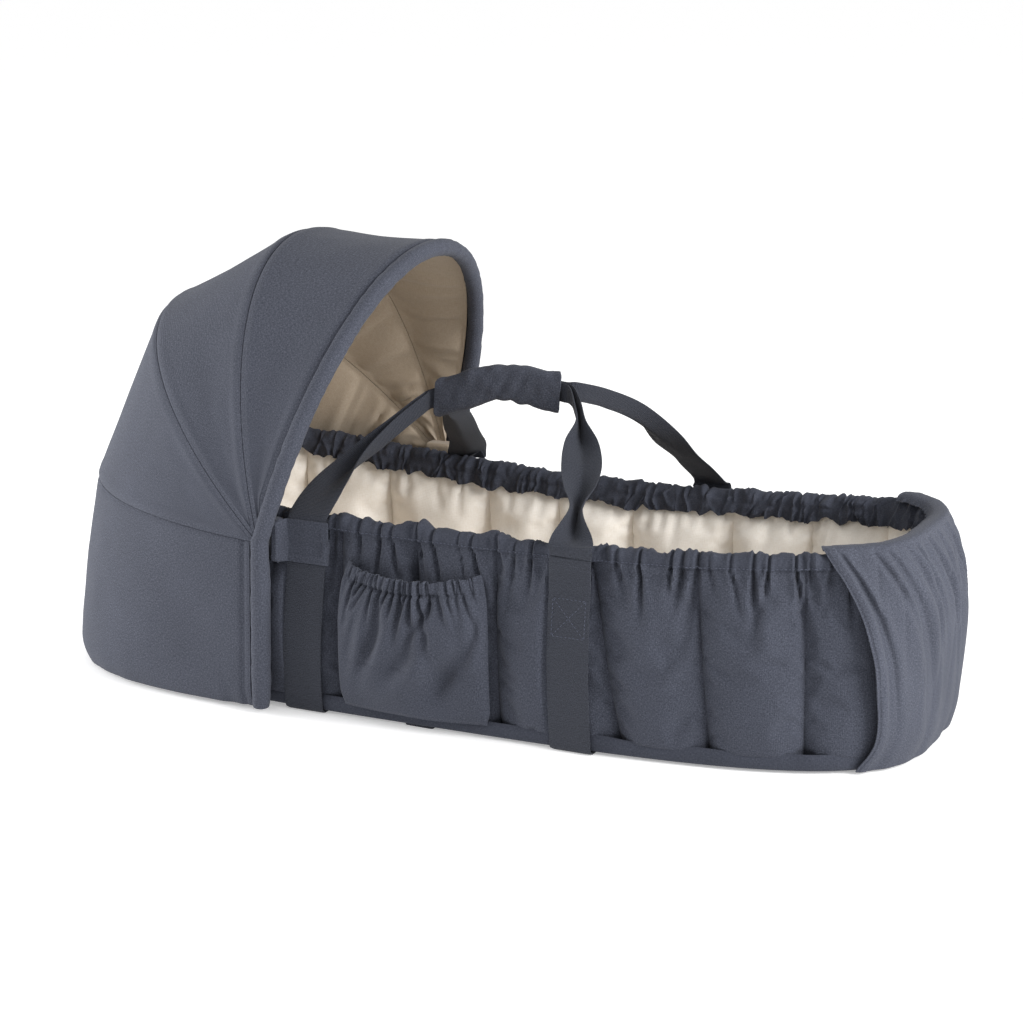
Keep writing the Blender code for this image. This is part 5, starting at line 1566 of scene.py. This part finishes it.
# A small cloth pouch over the inner, front and upper faces of each hinge block
def makeHingeCovers():
    gap, corner, rows = hinge["gap"], hinge["round"], hinge["rows"]
    for name, side, material, slot in (
        ("near", -1, slateCanvas, "slate_cloth"),
        # the far cover is in the lining's sateen painted darker, as painted shade
        ("far", 1, paintedShadeSateen, "beige_lining"),
    ):
        low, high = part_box(f"{name}_hinge_block")
        inner, outer = sorted((abs(low.y), abs(high.y)))
        front, back, inner, outer = high.x + gap, low.x - 0.0004, inner - gap, outer - 0.0008
        line = [(back + (front - corner - back) * t, inner) for t in np.linspace(0, 0.97, 12)]
        for t in np.linspace(0, pi / 2, 7):
            line.append((front - corner + corner * math.sin(t), inner + corner - corner * math.cos(t)))
        line += [(front, inner + corner + (outer - inner - corner) * t) for t in np.linspace(0.1, 1, 8)]
        line = np.array(line)
        heights = np.r_[np.linspace(low.z - 0.001, high.z - 0.001, rows), high.z + 0.0002]
        heights = np.r_[heights, np.full(hinge["topRows"], high.z + gap)]
        shrink = np.r_[np.ones(rows), 0.96, np.linspace(0.90, 0.0, hinge["topRows"])]
        middle = np.array([back, outer])
        made = []
        for z, share in zip(heights, shrink):
            flat = middle + (line - middle) * share
            wrinkle = 0.0003 * softNoise(flat[:, 0] / 0.004, z / 0.006 + flat[:, 1] / 0.004, 141) * share
            level = np.full(len(flat), z)
            made.append(np.stack([flat[:, 0] + wrinkle, side * (flat[:, 1] - wrinkle), level], 1))
        makeSheet(
            f"{name}_hinge_cover_cloth", np.stack(made), hinge["cloth"], material, [],
            inside=(back, side * (outer + 0.0008), low.z),
        )


makePatches()
makeHingeCovers()
print("patches and hinge covers made")

mattress = {
    "columns": 420,
    "inset": 0.0405,
    "low": 0.0083,
    "thick": 0.0285,
    "crown": 0.002,
    # how far in from the edge, and share of the height
    "profile": (
        (0.008, 0.0),
        (0.003, 0.05),
        (0.0, 0.25),
        (0.0006, 0.5),
        (0.0, 0.75),
        (0.0030, 0.93),
        (0.0085, 1.0),
    ),
    "piping": 0.0010,
    "pucker": 0.0011,
    "wave": 0.0010,
    "fineWave": 0.0005,
    "topRings": 34,
    "wadding": {"pressure": 4.0, "slack": 0.012, "bend": 3.0, "frames": 20, "cap": 0.005},
}


# The mattress: from the middle of its lower face round the edge to the middle of its upper face
def makeMattress():
    run = np.linspace(0, perimeter, mattress["columns"] + 1)[None]
    x, y = planPoint(run)
    thick = mattress["thick"]
    line = smoothLine(mattress["profile"], 5)
    offset = -mattress["inset"] - line[:, :1]
    level = line[:, 1:]
    z = mattress["low"] + level * thick
    puff = 0.0010 * np.abs(softNoise(x / 0.016, y / 0.016, 131))
    puff = puff + 0.0006 * softNoise(x / 0.008, y / 0.008 + z * 90, 132)
    piping = -mattress["piping"] * bell(level, 0.86, 0.03)
    ring = onOutline(run, offset + puff * hump(level) * 0.8 - 0.0006 + piping, z)

    # a ring drawn in towards the middle
    def shrunk(ring, share):
        made = ring.copy()
        made[:, 0] = nestMiddle + (made[:, 0] - nestMiddle) * share
        made[:, 1] *= share
        return made

    top = []
    for share in np.linspace(0.97, 0.0, mattress["topRings"]):
        made = shrunk(ring[-1], share)
        wave = mattress["wave"] * softNoise(made[:, 0] / 0.05, made[:, 1] / 0.05, 133)
        wave = wave + mattress["fineWave"] * softNoise(made[:, 0] / 0.018, made[:, 1] / 0.018, 134)
        near = easeIn((1 - share) / 0.25)
        pucker = np.abs(softNoise(run[0] / 0.013, share * 3, 135)) - 0.4
        pucker = mattress["pucker"] * pucker * np.exp(-(1 - share) / 0.07)
        made[:, 2] = mattress["low"] + thick + mattress["crown"] * near + wave * near + pucker
        top.append(made)
    bottom = [shrunk(ring[0], share) for share in (0.0, 0.5)]
    points = np.concatenate([np.stack(bottom), ring, np.stack(top)])
    points[-1] = points[-1].mean(0)
    points[0] = points[0].mean(0)
    points[:, -1] = points[:, 0]
    held = np.zeros(points.shape[:2])
    held[:12] = held[-5:] = 1
    held[:, :1] = held[:, -1:] = 1
    points = points + wadding(points, held, mattress["wadding"])
    below = np.maximum(mattress["low"] + thick - points[..., 2], 0)
    flat = points[..., :2] + outwardAt(run)[..., :2] * below[..., None]
    pad = clothGrid("mattress_pad", points, sew=True, uv=flat)
    turnOutward(pad)
    finishPiece(pad, beigeSateen, "cot", ["mattress"])


makeMattress()
print("mattress made")

stitch = {
    "pitch": 0.0036,
    "length": 0.0026,
    "radius": 0.00038,  # drawn slightly thicker than its 0.5 mm
    "boxInset": 0.004,
    "boxTop": 0.027,  # below the wall's top
    "boxFoot": 0.059,
}


# Rows of stitches as one piece: one small stitch is modelled and set along each line
def sewStitches(name, lines):
    bpy.ops.object.select_all(action="DESELECT")
    bpy.ops.mesh.primitive_uv_sphere_add(segments=6, ring_count=4, radius=1)
    model = bpy.context.object
    size = (stitch["length"] / 2, stitch["radius"], stitch["radius"])
    shape = np.array([v.co for v in model.data.vertices]) * size
    faces = [tuple(p.vertices) for p in model.data.polygons]
    bpy.data.objects.remove(model)
    places, corners = [], []
    for line, outward in lines:
        lengths = lengthsAlong(line)
        count = max(2, round(lengths[-1] / stitch["pitch"]))
        spots = (np.arange(count) + 0.5) * lengths[-1] / count

        def at(values):
            return np.stack([np.interp(spots, lengths, values[:, k]) for k in range(3)], 1)

        middle, along, up = at(line), unit(at(np.gradient(line, axis=0))), unit(at(outward))
        side = np.cross(up, along)
        base = sum(len(p) for p in places)
        made = shape[None, :, :1] * along[:, None] + shape[None, :, 1:2] * side[:, None]
        made = made + shape[None, :, 2:] * up[:, None]
        places.append((middle[:, None] + made).reshape(-1, 3))
        for number in range(count):
            shift = base + number * len(shape)
            corners += [tuple(v + shift for v in face) for face in faces]
    places = np.concatenate(places)
    mesh = bpy.data.meshes.new(name)
    mesh.from_pydata([tuple(p) for p in places], [], corners)
    obj = bpy.data.objects.new(name, mesh)
    bpy.context.scene.collection.objects.link(obj)
    flat = mesh.uv_layers.new(name="Cloth")
    ends = np.empty(len(mesh.loops), np.int32)
    mesh.loops.foreach_get("vertex_index", ends)
    flat.uv.foreach_set("vector", (places[ends][:, [0, 2]]).astype(np.float32).ravel())
    finishPiece(obj, slateThread, "cot")


# A sewn box with a cross on the foot strap, just under the rim, on both sides
def boxLines(side):
    x, half = strapX["foot"], webbing["width"] / 2 - stitch["boxInset"]
    top = float(wallTop(runAtX(x, side)))
    high, low = top - stitch["boxTop"], top - stitch["boxFoot"]
    corners = ((-half, high), (half, high), (half, low), (-half, low))
    made = []
    for first, second in ((0, 1), (1, 2), (2, 3), (3, 0), (0, 2), (1, 3)):
        (u0, z0), (u1, z1) = corners[first], corners[second]
        t = np.linspace(0, 1, 16)
        z = z0 + (z1 - z0) * t
        off = webbing["gap"] + 0.0006 + webbing["thickness"] + 0.0001
        out = strapHalfWidth(x) - drawnIn(levelAt(z, top)) + off
        made.append((np.stack([x + (u0 + (u1 - u0) * t), side * out, z], 1), rowsOf((0, side, 0), 16)))
    return made


def rimLine():
    run = np.linspace(0, perimeter, 1400)
    inward = -0.0093 + ruffle["pinch"] * pleatRelief(run, -0.01, wallPleats)
    return onOutline(run, inward, wallTop(run) + 0.0068), outwardAt(run)


def makeStitches():
    sewStitches("rim_stitches", [rimLine()])
    sewStitches("strap_box_stitches", boxLines(-1) + boxLines(1))


makeStitches()
print("stitches made")

# Fitted to the photograph
camera = {
    "azimuth": 25.93,
    "elevation": 14.33,
    "distance": 2.304,
    "lens": 89.5,
    "target": (0.0048, 0, 0.1599),
}


def makeCamera():
    a, e = math.radians(camera["azimuth"]), math.radians(camera["elevation"])
    back = Vector((math.sin(a) * math.cos(e), -math.cos(a) * math.cos(e), math.sin(e)))
    bpy.ops.object.camera_add(location=Vector(camera["target"]) + back * camera["distance"])
    made = bpy.context.object
    made.rotation_euler = back.to_track_quat("Z", "Y").to_euler()
    made.data.lens = camera["lens"]
    made.data.sensor_width = 36
    made.data.clip_end = 30
    bpy.context.scene.camera = made


studio = {
    "world": 0.74,
    "floorColor": "F5F5F5",
    "floorGlow": 0.32,
    "aim": (0, 0, 0.12),  # both lights look at this point
    # place, size, energy in watts: a large soft key from the left, a strong fill from the right
    "lights": (
        ("key", (-2.0, -0.66, 0.36), 1.2, 50),
        ("fill", (2.3, -0.34, 1.15), 1.2, 68),
    ),
}


def makeStudio():
    world = bpy.data.worlds.new("white_room")
    bpy.context.scene.world = world
    world.use_nodes = True
    background = world.node_tree.nodes["Background"]
    background.inputs["Color"].default_value = (1, 1, 1, 1)
    background.inputs["Strength"].default_value = studio["world"]
    bpy.ops.mesh.primitive_plane_add(size=80, location=(0, 0, 0))
    ground = bpy.context.object
    ground.name = "studio_floor"
    look = {"Base Color": linearColor(studio["floorColor"]), "Specular IOR Level": 0.1}
    glow = {"Emission Color": (1, 1, 1, 1), "Emission Strength": studio["floorGlow"]}
    ground.data.materials.append(newMaterial("matt_white_paper", 0.95, **look, **glow)[0])
    for name, place, size, energy in studio["lights"]:
        bpy.ops.object.light_add(type="AREA", location=place)
        light = bpy.context.object
        light.name = name
        light.data.size = size
        light.data.energy = energy
        away = Vector(place) - Vector(studio["aim"])
        light.rotation_euler = away.to_track_quat("Z", "Y").to_euler()
    bpy.context.scene.view_settings.view_transform = "Standard"


makeCamera()
makeStudio()
print("camera and light placed")

for node, obj in frame["nodes"].items():
    slot = next(s["material_slot"] for s in frame["record"]["subparts"] if s["node"] == node)
    if slot in hardMaterials:
        obj.data.materials.clear()
        obj.data.materials.append(hardMaterials[slot])
